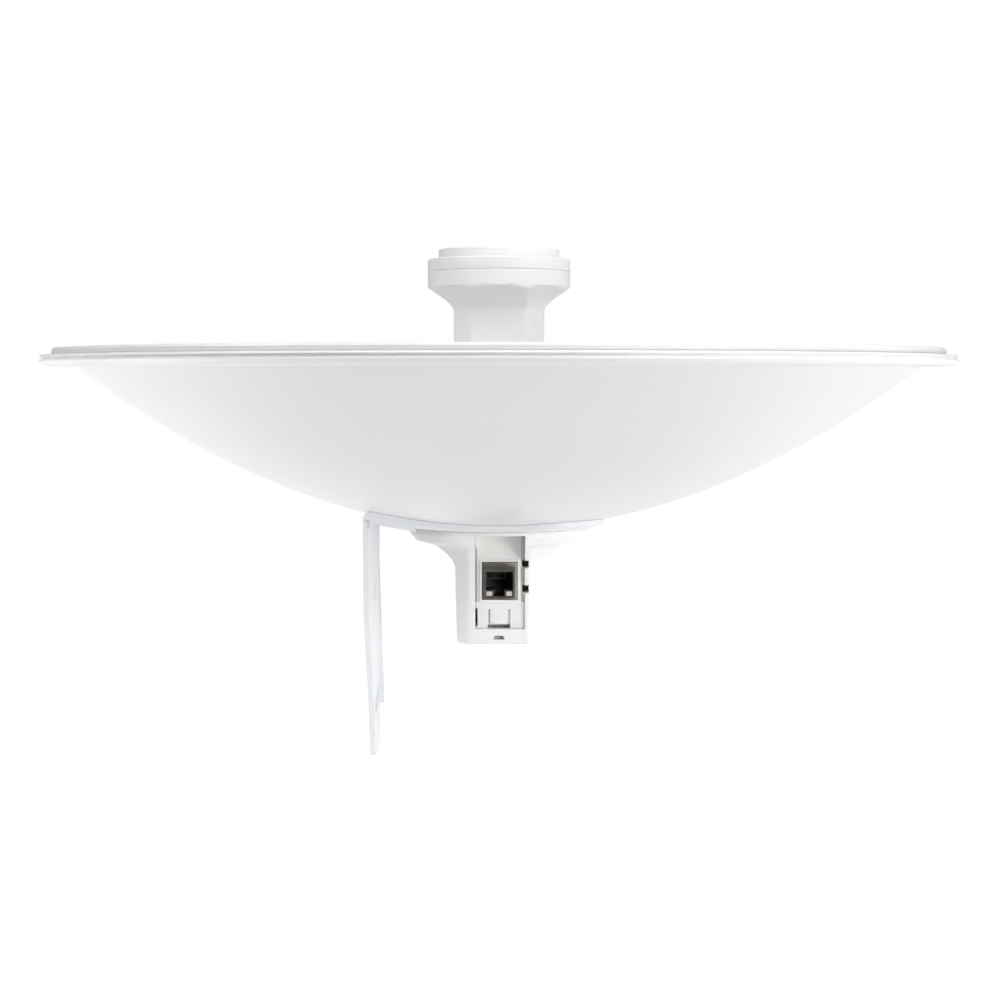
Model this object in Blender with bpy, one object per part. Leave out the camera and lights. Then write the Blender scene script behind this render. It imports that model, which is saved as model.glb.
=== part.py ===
"""Dish antenna of a point-to-point wireless bridge, at its real size.

Units are metres, +Z is the dish axis (the way the dish looks), and the origin lies on the outer face of
the bracket's side flange. Every piece is drawn around the dish axis and hung on one empty there, with the
back of the dish's flat hub at height 0.
"""
import math

import bmesh
import bpy
from mathutils import Vector

# Driving dimensions, in metres

MM = 0.001
GAP = 0.3 * MM

RIM_RADIUS = 210.0 * MM
LIP_RADIUS = 204.5 * MM
LIP_THICKNESS = 2.6 * MM
SHELF_RADIUS = 206.5 * MM
SHELF_Z = 71.4 * MM
BEAD_LOW_Z = 73.1 * MM
BEAD_TOP_Z = 76.7 * MM
LIP_TOP_Z = 80.0 * MM
RIM_ROUND = 0.6 * MM
DISH_THICKNESS = 1.3 * MM
DISH_CURVE = 2.02
DISH_VERTEX_DROP = 4.0 * MM
DISH_STEPS = 13
DISH_SEGMENTS = 80
HUB_HOLE_RADIUS = 25.6 * MM
HUB_BEND = 2.0 * MM

NECK_FLAT = 21.1 * MM
NECK_FLAT_HALF_WIDTH = 13.1 * MM
NECK_LOW_Z = -2.7 * MM
NECK_FLARE_Z = 97.3 * MM
NECK_FLARE_END_Z = 108.4 * MM
NECK_FLARE_REACH = 12.4 * MM
NECK_FLARE_POWER = 1.6
NECK_FLARE_STEPS = 9
HEAD_RADIUS = 33.3 * MM
HEAD_SEAM_Z = 115.7 * MM
HEAD_TOP_Z = 121.5 * MM
CAP_RADIUS = 28.2 * MM
CAP_TOP_Z = 126.3 * MM
HEAD_ROUND = 0.8 * MM
HEAD_STEP = 0.2 * MM

SEAL_THICKNESS = 1.0 * MM
SEAL_INNER_RADIUS = 27.0 * MM
SEAL_OUTER_RADIUS = 36.0 * MM
COLLAR_RADIUS = 38.0 * MM
COLLAR_HEIGHT = 6.0 * MM
SCREW_CIRCLE = 31.5 * MM
SCREW_COUNT = 4
SCREW_RADIUS = 2.0 * MM
SCREW_HOLE_RADIUS = 2.4 * MM
SCREW_END_Z = -6.6 * MM
SCREW_HEAD_RADIUS = 3.6 * MM
SCREW_HEAD_HEIGHT = 2.6 * MM
SCREW_HEAD_ROUND = 0.8 * MM
RECESS_RADIUS = 1.4 * MM
RECESS_DEPTH = 1.2 * MM
WASHER_RADIUS = 4.8 * MM
WASHER_THICKNESS = 1.0 * MM

SHEET = 2.4 * MM
AXIS_TO_BRACKET_FACE = 60.9 * MM
MOUNT_DROP = 62.0 * MM
FLANGE_NEAR_Y = -46.0 * MM
FLANGE_SLANT = ((-46.0 * MM, -38.0 * MM), (-42.0 * MM, -46.0 * MM), (-21.5 * MM, -76.0 * MM))
FLANGE_FAR_Y = 34.0 * MM
FLANGE_END_Z = -112.0 * MM
PLATE_NEAR_Y = -48.0 * MM
PLATE_SHOULDER_X = -12.0 * MM
PLATE_RIGHT_X = 48.0 * MM
PLATE_CORNER = 44.0 * MM
FRONT_LIP_DEPTH = 4.9 * MM
FRONT_LIP_RIGHT_X = -37.5 * MM
PLATE_BLANK_LOW_Z = -12.0 * MM
PLATE_BLANK_TOP_Z = 20.0 * MM
RETURN_LIP_START = 2.3 * MM
RETURN_LIP_WIDTH = 4.6 * MM
RETURN_LIP_TOP_Z = -20.0 * MM
RETURN_LIP_END_Z = -93.0 * MM
RELIEF_INNER_WALL = 1.1 * MM
RELIEF_RIGHT = 3.6 * MM
RELIEF_DEPTH = 3.4 * MM
RELIEF_LOW_Z = -0.6 * MM
RELIEF_TOP_Z = 2.9 * MM
PIVOT_HOLE_RADIUS = 5.3 * MM
PIVOT_Y = -3.0 * MM
PIVOT_Z = -33.0 * MM
SLOT_RADIUS = 56.0 * MM
SLOT_HALF_WIDTH = 4.2 * MM
SLOT_START_DEG = 4.0
SLOT_END_DEG = 26.0

FOOT_RADIUS = 42.2 * MM
FOOT_TOP_Z = -3.0 * MM
FOOT_EDGE_Z = -5.6 * MM
FOOT_ROUND = 0.8 * MM
FOOT_EDGE_INSET = 0.9 * MM
FOOT_EDGE_DROP = 2.0 * MM
CONE_TOP_RADIUS = 39.2 * MM
CONE_TOP_Z = -9.2 * MM
CONE_SLOPE = 3.56
BODY_FLAT = 20.6 * MM
BODY_FLAT_HALF_WIDTH = 14.2 * MM
BODY_END_FLAT = 19.8 * MM
BODY_END_Z = -57.0 * MM
FLARE_LOW_Z = -21.0 * MM
FLARE_TOP_Z = -12.4 * MM
FLARE_REACH = 7.4 * MM
FLARE_POWER = 1.5
END_ROUND = 1.6 * MM

BAY_LEFT_X = -11.0 * MM
BAY_RIGHT_X = 11.9 * MM
BAY_TOP_Z = -4.6 * MM
BAY_LOW_Z = -49.6 * MM
BAY_BACK_Y = 3.5 * MM
NOTCH_RIGHT_X = 13.7 * MM
NOTCH_FRONT_Y = -24.0 * MM
NOTCH_BACK_Y = -8.0 * MM
UPPER_NOTCH_Z = (-21.1 * MM, -17.6 * MM)
LOWER_NOTCH_Z = (-32.7 * MM, -29.2 * MM)
END_SLOT_HALF_WIDTH = 2.7 * MM
END_SLOT_Z = (-54.5 * MM, -52.8 * MM)
END_SLOT_BACK_Y = -16.0 * MM

TRAY_FACE_Y = -18.6 * MM
TRAY_BACK_Y = 2.6 * MM
TRAY_WALL = 1.3 * MM
GROOVE_LEFT_X = -10.0 * MM
GROOVE_RIGHT_X = 10.2 * MM
GROOVE_DEPTH = 1.5 * MM
SIDE_NOTCH_LEFT_X = 10.7 * MM
LEFT_GROOVE_TOP_Z = -12.2 * MM
CAVITY_LEFT_X = -8.4 * MM
CAVITY_RIGHT_X = 9.3 * MM
FRAME_LEFT_X = -8.8 * MM
FRAME_RIGHT_X = 9.5 * MM
FRAME_PROUD = 0.8 * MM
FRAME_TOP_Z = -17.7 * MM
FRAME_LOW_Z = -37.2 * MM
SIDE_SLOT_Z = (-48.6 * MM, -40.1 * MM)
SIDE_SLOT_DEPTH = 3.0 * MM
TONGUE_HALF_WIDTH = 4.0 * MM
TONGUE_CUT = 1.2 * MM
TIP_CUT_DEPTH = 7.0 * MM
TONGUE_ROOT_Z = -40.6 * MM
TONGUE_TIP_Z = -47.6 * MM

JACK_X = 0.3 * MM
JACK_HALF_WIDTH = 8.0 * MM
JACK_TOP_Z = -18.7 * MM
JACK_LOW_Z = -35.8 * MM
JACK_FACE_Y = -18.9 * MM
JACK_BACK_Y = -1.5 * MM
JACK_SHEET = 0.5 * MM
PLUG_HALF_WIDTH = 6.1 * MM
PLUG_X = 0.1 * MM
PLUG_TOP_Z = -23.3 * MM
PLUG_LOW_Z = -31.5 * MM
PLUG_END_Y = -6.0 * MM
LATCH_HALF_WIDTH = 2.3 * MM
LATCH_LOW_Z = -34.4 * MM
LIGHT_INNER = 3.2 * MM
LIGHT_OUTER = 6.0 * MM
LIGHT_TOP_Z = -32.2 * MM
LIGHT_LOW_Z = -34.4 * MM
LIGHT_BACK_Y = -15.4 * MM
CONTACT_COUNT = 8
CONTACT_PITCH = 1.02 * MM
CONTACT_HALF_WIDTH = 0.22 * MM
CONTACT_THICKNESS = 0.45 * MM
CONTACT_SETBACK = 3.4 * MM
CONTACT_DROP = 3.4 * MM
CONTACT_ROOT = 0.4 * MM
CARRIER_THICKNESS = 1.2 * MM
CARRIER_HEIGHT = 4.2 * MM

BOARD_FRONT_Y = -1.2 * MM
BOARD_THICKNESS = 1.6 * MM


def clear_scene():
    """Take away whatever the scene holds."""
    for item in list(bpy.data.objects):
        bpy.data.objects.remove(item, do_unlink=True)


def make_material(name, color, roughness, metallic=0.0):
    """One Principled surface."""
    material = bpy.data.materials.new(name)
    material.use_nodes = True
    shader = material.node_tree.nodes["Principled BSDF"]
    shader.inputs["Base Color"].default_value = (*color, 1.0)
    shader.inputs["Roughness"].default_value = roughness
    shader.inputs["Metallic"].default_value = metallic
    return material


def add_object(name, shape, parent, material=None, smooth_deg=None):
    """Turn a bmesh into an object hung on the parent."""
    bmesh.ops.recalc_face_normals(shape, faces=shape.faces)
    mesh = bpy.data.meshes.new(name)
    shape.to_mesh(mesh)
    shape.free()
    if material is not None:
        mesh.materials.append(material)
    if smooth_deg is not None:
        mesh.shade_smooth()
        mesh.set_sharp_from_angle(angle=math.radians(smooth_deg))
    item = bpy.data.objects.new(name, mesh)
    bpy.context.scene.collection.objects.link(item)
    item.parent = parent
    return item


def add_cutter(name, shape, parent):
    """A shape that only serves a Boolean."""
    item = add_object(name, shape, parent)
    item.hide_render = True
    item.display_type = "WIRE"
    return item


def combine(item, other, operation):
    """Cut, join or intersect an object with a cutter."""
    step = item.modifiers.new(operation.lower() + "_" + other.name, "BOOLEAN")
    step.operation = operation
    step.solver = "EXACT"
    step.object = other


def skin(shape, loops, wrap):
    """Faces between neighbouring loops of corners; a loop of one corner is a pole."""
    pairs = list(zip(loops, loops[1:]))
    if wrap:
        pairs.append((loops[-1], loops[0]))
    for low, high in pairs:
        count = max(len(low), len(high))
        for index in range(count):
            after = (index + 1) % count
            if len(low) == 1:
                shape.faces.new((low[0], high[index], high[after]))
            elif len(high) == 1:
                shape.faces.new((low[index], low[after], high[0]))
            else:
                shape.faces.new((low[index], low[after], high[after], high[index]))


def turned(profile, segments, wrap=True, center=(0.0, 0.0)):
    """Solid turned from an outline of (radius, height) points."""
    shape = bmesh.new()
    loops = []
    for radius, height in profile:
        if radius == 0.0:
            loops.append([shape.verts.new((center[0], center[1], height))])
            continue
        loop = []
        for index in range(segments):
            angle = 2.0 * math.pi * index / segments
            x = center[0] + radius * math.cos(angle)
            y = center[1] + radius * math.sin(angle)
            loop.append(shape.verts.new((x, y, height)))
        loops.append(loop)
    skin(shape, loops, wrap)
    return shape


def post(radius, low_z, high_z, segments, center):
    """Plain round post."""
    return turned([(0.0, low_z), (radius, low_z), (radius, high_z), (0.0, high_z)],
                  segments, wrap=False, center=center)


def stacked(levels, closed_ends=True):
    """Solid through a stack of equal-count loops of (x, y, z) corners."""
    shape = bmesh.new()
    loops = [[shape.verts.new(point) for point in level] for level in levels]
    skin(shape, loops, wrap=not closed_ends)
    if closed_ends:
        shape.faces.new(loops[0])
        shape.faces.new(loops[-1])
    return shape


def block(low, high, shape=None):
    """Box between two corners, added to a bmesh when one is given."""
    shape = shape or bmesh.new()
    corners = []
    for x in (low[0], high[0]):
        for y in (low[1], high[1]):
            for z in (low[2], high[2]):
                corners.append(shape.verts.new((x, y, z)))
    for ids in ((0, 1, 3, 2), (4, 6, 7, 5), (0, 4, 5, 1), (2, 3, 7, 6), (0, 2, 6, 4), (1, 5, 7, 3)):
        shape.faces.new([corners[i] for i in ids])
    return shape


def prism(outline, axis, low, high):
    """Outline of (u, v) points pushed along X (u, v = y, z), Y (u, v = x, z) or Z (u, v = x, y)."""
    place = {"X": lambda u, v, w: (w, u, v),
             "Y": lambda u, v, w: (u, w, v),
             "Z": lambda u, v, w: (u, v, w)}[axis]
    return stacked([[place(u, v, low) for u, v in outline], [place(u, v, high) for u, v in outline]])


def arc_points(center, radius, start_deg, end_deg, steps):
    """Points on an arc of a plane outline."""
    points = []
    for index in range(steps + 1):
        angle = math.radians(start_deg + (end_deg - start_deg) * index / steps)
        points.append((center[0] + radius * math.cos(angle), center[1] + radius * math.sin(angle)))
    return points


def screw_places():
    """Plan places of the hub screws."""
    return arc_points((0.0, 0.0), SCREW_CIRCLE, 45.0, 315.0, SCREW_COUNT - 1)


# Chamfered-square section shared by the feed's neck and the rear housing

FLAT_STEPS = 6
CORNER_STEPS = 5


def section_loop(flat, half_width, round_limit, height, round_least=0.0):
    """Chamfered square with flats of one width, kept between two circles, as a loop at one height."""
    widest_flat = math.sqrt(round_limit ** 2 - half_width ** 2)
    corner = math.atan2(half_width, min(flat, widest_flat))
    chamfer = (flat + half_width) / math.sqrt(2.0)
    points = []
    for quarter in range(4):
        middle = quarter * math.pi / 2.0
        gap = math.pi / 2.0 - 2.0 * corner
        angles = [middle - corner + 2.0 * corner * index / FLAT_STEPS for index in range(FLAT_STEPS)]
        angles += [middle + corner + gap * index / CORNER_STEPS for index in range(CORNER_STEPS)]
        for angle in angles:
            to_flat = flat / math.cos(angle - middle)
            to_chamfer = chamfer / math.cos(angle - middle - math.pi / 4.0)
            if angle < middle:
                to_chamfer = chamfer / math.cos(angle - middle + math.pi / 4.0)
            if angle > middle + math.pi / 4.0:
                to_flat = flat / math.cos(angle - middle - math.pi / 2.0)
            reach = max(min(to_flat, to_chamfer, round_limit), round_least)
            points.append((reach * math.cos(angle), reach * math.sin(angle), height))
    return points


# Dish

def dish_back_z(radius):
    """Height of the dish's back: a flat hub, then a paraboloid."""
    return max(0.0, DISH_CURVE * radius * radius - DISH_VERTEX_DROP)


def dish_radius_at(height):
    """Radius at which the back of the paraboloid reaches a height."""
    return math.sqrt((height + DISH_VERTEX_DROP) / DISH_CURVE)


def dish_outline():
    """Closed section of the dish: back outward, over the stepped rim, front inward."""
    hub = dish_radius_at(0.0)
    wall = dish_radius_at(SHELF_Z)
    back = []
    front = []
    for index in range(DISH_STEPS + 1):
        radius = hub + (wall - hub) * index / DISH_STEPS
        slope = 2.0 * DISH_CURVE * radius
        length = math.hypot(1.0, slope)
        height = dish_back_z(radius)
        back.append((radius, height))
        front.append((radius - DISH_THICKNESS * slope / length, height + DISH_THICKNESS / length))
    lip_inside = LIP_RADIUS - LIP_THICKNESS
    rim = [
        (SHELF_RADIUS, SHELF_Z),
        (SHELF_RADIUS + RIM_ROUND, BEAD_LOW_Z),
        (RIM_RADIUS - RIM_ROUND, BEAD_LOW_Z),
        (RIM_RADIUS, BEAD_LOW_Z + RIM_ROUND),
        (RIM_RADIUS, BEAD_TOP_Z - RIM_ROUND),
        (RIM_RADIUS - RIM_ROUND, BEAD_TOP_Z),
        (LIP_RADIUS, BEAD_TOP_Z),
        (LIP_RADIUS, LIP_TOP_Z - RIM_ROUND),
        (LIP_RADIUS - RIM_ROUND, LIP_TOP_Z),
        (lip_inside + RIM_ROUND, LIP_TOP_Z),
        (lip_inside, LIP_TOP_Z - RIM_ROUND),
        (lip_inside, SHELF_Z + DISH_THICKNESS),
        (wall + DISH_THICKNESS, SHELF_Z + DISH_THICKNESS),
    ]
    hub_floor = [(hub - HUB_BEND, DISH_THICKNESS), (HUB_HOLE_RADIUS, DISH_THICKNESS), (HUB_HOLE_RADIUS, 0.0)]
    return back + rim + front[::-1] + hub_floor


def build_dish(parent, holes):
    """Sheet dish with a rolled, stepped rim, a flat hub and its screw holes."""
    paint = make_material("dish_paint", (0.78, 0.79, 0.80), 0.42)
    dish = add_object("reflector_dish", turned(dish_outline(), DISH_SEGMENTS), parent, paint, 30.0)
    combine(dish, holes, "DIFFERENCE")


# Hub stack inside the bowl

COLLAR_LOW_Z = DISH_THICKNESS + SEAL_THICKNESS + 2.0 * GAP
COLLAR_TOP_Z = COLLAR_LOW_Z + COLLAR_HEIGHT
WASHER_LOW_Z = COLLAR_TOP_Z + GAP
HEAD_LOW_Z = WASHER_LOW_Z + WASHER_THICKNESS + GAP


def build_hub_stack(parent, holes):
    """Seal, feed collar, screws and washers on the hub."""
    rubber = make_material("seal_rubber", (0.05, 0.05, 0.05), 0.8)
    plastic = make_material("collar_plastic", (0.76, 0.76, 0.75), 0.45)
    steel = make_material("screw_steel", (0.55, 0.55, 0.56), 0.3, 1.0)
    low = DISH_THICKNESS + GAP
    high = low + SEAL_THICKNESS
    ring = [(SEAL_INNER_RADIUS, low), (SEAL_OUTER_RADIUS, low), (SEAL_OUTER_RADIUS, high),
            (SEAL_INNER_RADIUS, high)]
    seal = add_object("hub_seal", turned(ring, 48), parent, rubber, 30.0)
    combine(seal, holes, "DIFFERENCE")

    grow = 1.5 * GAP
    corner_grow = grow * math.tan(math.pi / 8.0)
    edge = 1.2 * MM

    def inner(height):
        return section_loop(NECK_FLAT + grow, NECK_FLAT_HALF_WIDTH + corner_grow, COLLAR_RADIUS, height)

    def outer(radius, height):
        return section_loop(2.0 * COLLAR_RADIUS, NECK_FLAT_HALF_WIDTH, radius, height)

    levels = [inner(COLLAR_LOW_Z), outer(COLLAR_RADIUS, COLLAR_LOW_Z),
              outer(COLLAR_RADIUS, COLLAR_TOP_Z - edge), outer(COLLAR_RADIUS - edge, COLLAR_TOP_Z),
              inner(COLLAR_TOP_Z)]
    collar = add_object("feed_collar", stacked(levels, closed_ends=False), parent, plastic, 30.0)
    combine(collar, holes, "DIFFERENCE")

    head_top = HEAD_LOW_Z + SCREW_HEAD_HEIGHT
    for number, place in enumerate(screw_places(), start=1):
        outline = [(0.0, SCREW_END_Z), (SCREW_RADIUS, SCREW_END_Z), (SCREW_RADIUS, HEAD_LOW_Z),
                   (SCREW_HEAD_RADIUS, HEAD_LOW_Z), (SCREW_HEAD_RADIUS, head_top - SCREW_HEAD_ROUND),
                   (SCREW_HEAD_RADIUS - SCREW_HEAD_ROUND, head_top), (RECESS_RADIUS, head_top),
                   (RECESS_RADIUS, head_top - RECESS_DEPTH), (0.0, head_top - RECESS_DEPTH)]
        screw = turned(outline, 16, wrap=False, center=place)
        add_object("hub_screw_%d" % number, screw, parent, steel, 30.0)
        washer_top = WASHER_LOW_Z + WASHER_THICKNESS
        outline = [(SCREW_HOLE_RADIUS, WASHER_LOW_Z), (WASHER_RADIUS, WASHER_LOW_Z),
                   (WASHER_RADIUS, washer_top), (SCREW_HOLE_RADIUS, washer_top)]
        add_object("hub_washer_%d" % number, turned(outline, 20, center=place), parent, steel, 30.0)


# Feed

def build_feed(parent):
    """Neck that flares into the lower half of the round head, upper half and cap."""
    plastic = make_material("feed_plastic", (0.77, 0.77, 0.76), 0.45)
    cover_plastic = make_material("cover_plastic", (0.77, 0.77, 0.76), 0.45)
    cap_plastic = make_material("cap_plastic", (0.80, 0.80, 0.79), 0.45)
    height = NECK_FLARE_END_Z - NECK_FLARE_Z
    levels = [section_loop(NECK_FLAT, NECK_FLAT_HALF_WIDTH, HEAD_RADIUS, NECK_LOW_Z)]
    for step in range(NECK_FLARE_STEPS + 1):
        fraction = step / NECK_FLARE_STEPS
        flat = NECK_FLAT + NECK_FLARE_REACH * fraction ** NECK_FLARE_POWER
        levels.append(section_loop(flat, NECK_FLAT_HALF_WIDTH, HEAD_RADIUS, NECK_FLARE_Z + height * fraction))
    beyond = 2.0 * HEAD_RADIUS
    for level in (NECK_FLARE_END_Z + HEAD_STEP, HEAD_SEAM_Z):
        levels.append(section_loop(beyond, NECK_FLAT_HALF_WIDTH, HEAD_RADIUS, level))
    add_object("feed_neck", stacked(levels), parent, plastic, 25.0)

    low = HEAD_SEAM_Z + GAP
    cover = [(0.0, low), (HEAD_RADIUS, low), (HEAD_RADIUS, HEAD_TOP_Z - HEAD_ROUND),
             (HEAD_RADIUS - HEAD_ROUND, HEAD_TOP_Z), (0.0, HEAD_TOP_Z)]
    add_object("feed_head_cover", turned(cover, 48, wrap=False), parent, cover_plastic, 30.0)

    low = HEAD_TOP_Z + GAP
    cap = [(0.0, low), (CAP_RADIUS, low), (CAP_RADIUS, CAP_TOP_Z - HEAD_ROUND),
           (CAP_RADIUS - HEAD_ROUND, CAP_TOP_Z), (0.0, CAP_TOP_Z)]
    add_object("feed_cap", turned(cap, 48, wrap=False), parent, cap_plastic, 30.0)


# Bracket

def under_dish(drop, low_z):
    """Everything lower than a surface that follows the dish's back at a given drop."""
    hub = dish_radius_at(0.0)
    reach = 100.0 * MM
    steps = 10
    surface = [(0.0, -drop)]
    for index in range(steps + 1):
        radius = hub + (reach - hub) * index / steps
        surface.append((radius, dish_back_z(radius) - drop))
    return turned([(0.0, low_z), (reach, low_z)] + surface[::-1], DISH_SEGMENTS, wrap=False)


def plate_outline():
    """Plan of the base plate: wide at the flange, round corners at the free end."""
    inset = PLATE_CORNER
    right = PLATE_RIGHT_X - inset
    near = PLATE_NEAR_Y + inset
    points = [(-AXIS_TO_BRACKET_FACE, FLANGE_FAR_Y), (-AXIS_TO_BRACKET_FACE, FLANGE_NEAR_Y),
              (FRONT_LIP_RIGHT_X, FLANGE_NEAR_Y), (PLATE_SHOULDER_X, PLATE_NEAR_Y)]
    points += arc_points((right, near), inset, -90.0, 0.0, 12)
    points += arc_points((right, -near), inset, 0.0, 90.0, 12)
    return points


def flange_outline(top_z):
    """Side view of the flange: its near edge slants back in two steps to a rounded end."""
    far_round = 7.0 * MM
    tip_round = 9.0 * MM
    tip_near_y = -7.0 * MM
    points = [(FLANGE_FAR_Y, top_z), (FLANGE_NEAR_Y, top_z), *FLANGE_SLANT]
    points += arc_points((tip_near_y + tip_round, FLANGE_END_Z + tip_round), tip_round, 190.0, 270.0, 5)
    points += arc_points((FLANGE_FAR_Y - far_round, FLANGE_END_Z + far_round), far_round, 270.0, 360.0, 4)
    return points


def slot_outline():
    """Curved slot about the pivot hole, with round ends."""
    pivot = (PIVOT_Y, PIVOT_Z)
    start = -90.0 + SLOT_START_DEG
    end = -90.0 + SLOT_END_DEG
    outer = arc_points(pivot, SLOT_RADIUS + SLOT_HALF_WIDTH, start, end, 6)
    inner = arc_points(pivot, SLOT_RADIUS - SLOT_HALF_WIDTH, end, start, 6)
    far = arc_points(pivot, SLOT_RADIUS, end, end, 1)[0]
    near = arc_points(pivot, SLOT_RADIUS, start, start, 1)[0]
    far_end = arc_points(far, SLOT_HALF_WIDTH, end, end + 180.0, 6)[1:-1]
    near_end = arc_points(near, SLOT_HALF_WIDTH, start + 180.0, start + 360.0, 6)[1:-1]
    return outer + far_end + inner + near_end


def build_bracket(parent, holes):
    """L-shaped sheet: a base plate pressed to the dish's back and a side flange with pivot hole and slot."""
    paint = make_material("bracket_paint", (0.74, 0.76, 0.78), 0.42)
    left = -AXIS_TO_BRACKET_FACE
    low = PLATE_BLANK_LOW_Z
    high = PLATE_BLANK_TOP_Z
    below_all = 1.2 * FLANGE_END_Z
    below_sheet = add_cutter("below_sheet_cutter", under_dish(GAP + SHEET, below_all), parent)
    below_lip = add_cutter("below_lip_cutter", under_dish(GAP + FRONT_LIP_DEPTH, below_all), parent)
    under_back = add_cutter("under_back_cutter", under_dish(GAP, below_all), parent)

    bracket = add_object("mount_bracket", prism(plate_outline(), "Z", low, high), parent, paint)
    combine(bracket, below_sheet, "DIFFERENCE")

    lip = add_cutter("front_lip", block((left, FLANGE_NEAR_Y, low),
                                        (FRONT_LIP_RIGHT_X, FLANGE_NEAR_Y + SHEET, high)), parent)
    combine(lip, below_lip, "DIFFERENCE")
    combine(bracket, lip, "UNION")

    flange = add_cutter("flange_sheet", prism(flange_outline(high), "X", left, left + SHEET), parent)
    combine(bracket, flange, "UNION")

    lip_side = [(left, RETURN_LIP_TOP_Z), (left + RETURN_LIP_START, RETURN_LIP_TOP_Z),
                (left + RETURN_LIP_WIDTH, RETURN_LIP_END_Z), (left, RETURN_LIP_END_Z)]
    return_lip = add_cutter("return_lip", prism(lip_side, "Y", FLANGE_FAR_Y - SHEET, FLANGE_FAR_Y), parent)
    combine(bracket, return_lip, "UNION")
    combine(bracket, under_back, "INTERSECT")

    hub_post = post(HUB_HOLE_RADIUS, low, high, 48, (0.0, 0.0))
    hub_hole = add_cutter("plate_hub_hole", hub_post, parent)
    combine(bracket, hub_hole, "DIFFERENCE")
    combine(bracket, holes, "DIFFERENCE")

    beyond = 3.0 * MM
    pivot = add_cutter("pivot_hole", prism(arc_points((PIVOT_Y, PIVOT_Z), PIVOT_HOLE_RADIUS, 0.0, 345.0, 23),
                                           "X", left - beyond, left + beyond + SHEET), parent)
    combine(bracket, pivot, "DIFFERENCE")
    slot = add_cutter("curved_slot", prism(slot_outline(), "X", left - beyond, left + beyond + SHEET), parent)
    combine(bracket, slot, "DIFFERENCE")

    relief = add_cutter("bend_relief", block((left + RELIEF_INNER_WALL, FLANGE_NEAR_Y - MM, RELIEF_LOW_Z),
                                             (left + RELIEF_RIGHT, FLANGE_NEAR_Y + RELIEF_DEPTH, RELIEF_TOP_Z)),
                        parent)
    combine(bracket, relief, "DIFFERENCE")


# Rear housing and its port bay

def cone_radius(height):
    """Radius of the foot's shallow conical underside at a height."""
    return CONE_TOP_RADIUS - CONE_SLOPE * (CONE_TOP_Z - height)


def housing_levels():
    """Loops of the rear housing from its round foot down to the rounded end."""
    levels = []
    for radius, height in ((FOOT_RADIUS - FOOT_ROUND, FOOT_TOP_Z),
                           (FOOT_RADIUS, FOOT_TOP_Z - FOOT_ROUND),
                           (FOOT_RADIUS, FOOT_EDGE_Z),
                           (FOOT_RADIUS - FOOT_EDGE_INSET, FOOT_EDGE_Z - FOOT_EDGE_DROP),
                           (CONE_TOP_RADIUS, CONE_TOP_Z)):
        levels.append(section_loop(BODY_FLAT, BODY_FLAT_HALF_WIDTH, FOOT_RADIUS, height, radius))
    height = FLARE_TOP_Z - FLARE_LOW_Z
    for fraction in (1.0, 0.85, 0.65, 0.45, 0.25, 0.0):
        flat = BODY_FLAT + FLARE_REACH * fraction ** FLARE_POWER
        level = FLARE_LOW_Z + height * fraction
        levels.append(section_loop(flat, BODY_FLAT_HALF_WIDTH, FOOT_RADIUS, level, cone_radius(level)))
    for inset, rise in ((0.0, END_ROUND), (0.3 * END_ROUND, 0.3 * END_ROUND), (END_ROUND, 0.0)):
        level = BODY_END_Z + rise
        levels.append(section_loop(BODY_END_FLAT - inset, BODY_FLAT_HALF_WIDTH, FOOT_RADIUS, level))
    return levels


def build_housing(parent, holes):
    """Rear housing, open at its port bay."""
    plastic = make_material("housing_plastic", (0.78, 0.78, 0.77), 0.45)
    housing = add_object("rear_housing", stacked(housing_levels()), parent, plastic, 25.0)
    combine(housing, holes, "DIFFERENCE")
    in_front = -1.5 * FOOT_RADIUS
    cuts = block((BAY_LEFT_X, in_front, BAY_LOW_Z), (BAY_RIGHT_X, BAY_BACK_Y, BAY_TOP_Z))
    bay = add_cutter("bay_cutter", cuts, parent)
    combine(housing, bay, "DIFFERENCE")
    notches = bmesh.new()
    for low_z, high_z in (UPPER_NOTCH_Z, LOWER_NOTCH_Z):
        block((BAY_RIGHT_X - MM, NOTCH_FRONT_Y, low_z), (NOTCH_RIGHT_X, NOTCH_BACK_Y, high_z), notches)
    block((-END_SLOT_HALF_WIDTH, NOTCH_FRONT_Y, END_SLOT_Z[0]),
          (END_SLOT_HALF_WIDTH, END_SLOT_BACK_Y, END_SLOT_Z[1]), notches)
    combine(housing, add_cutter("notch_cutter", notches, parent), "DIFFERENCE")


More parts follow.
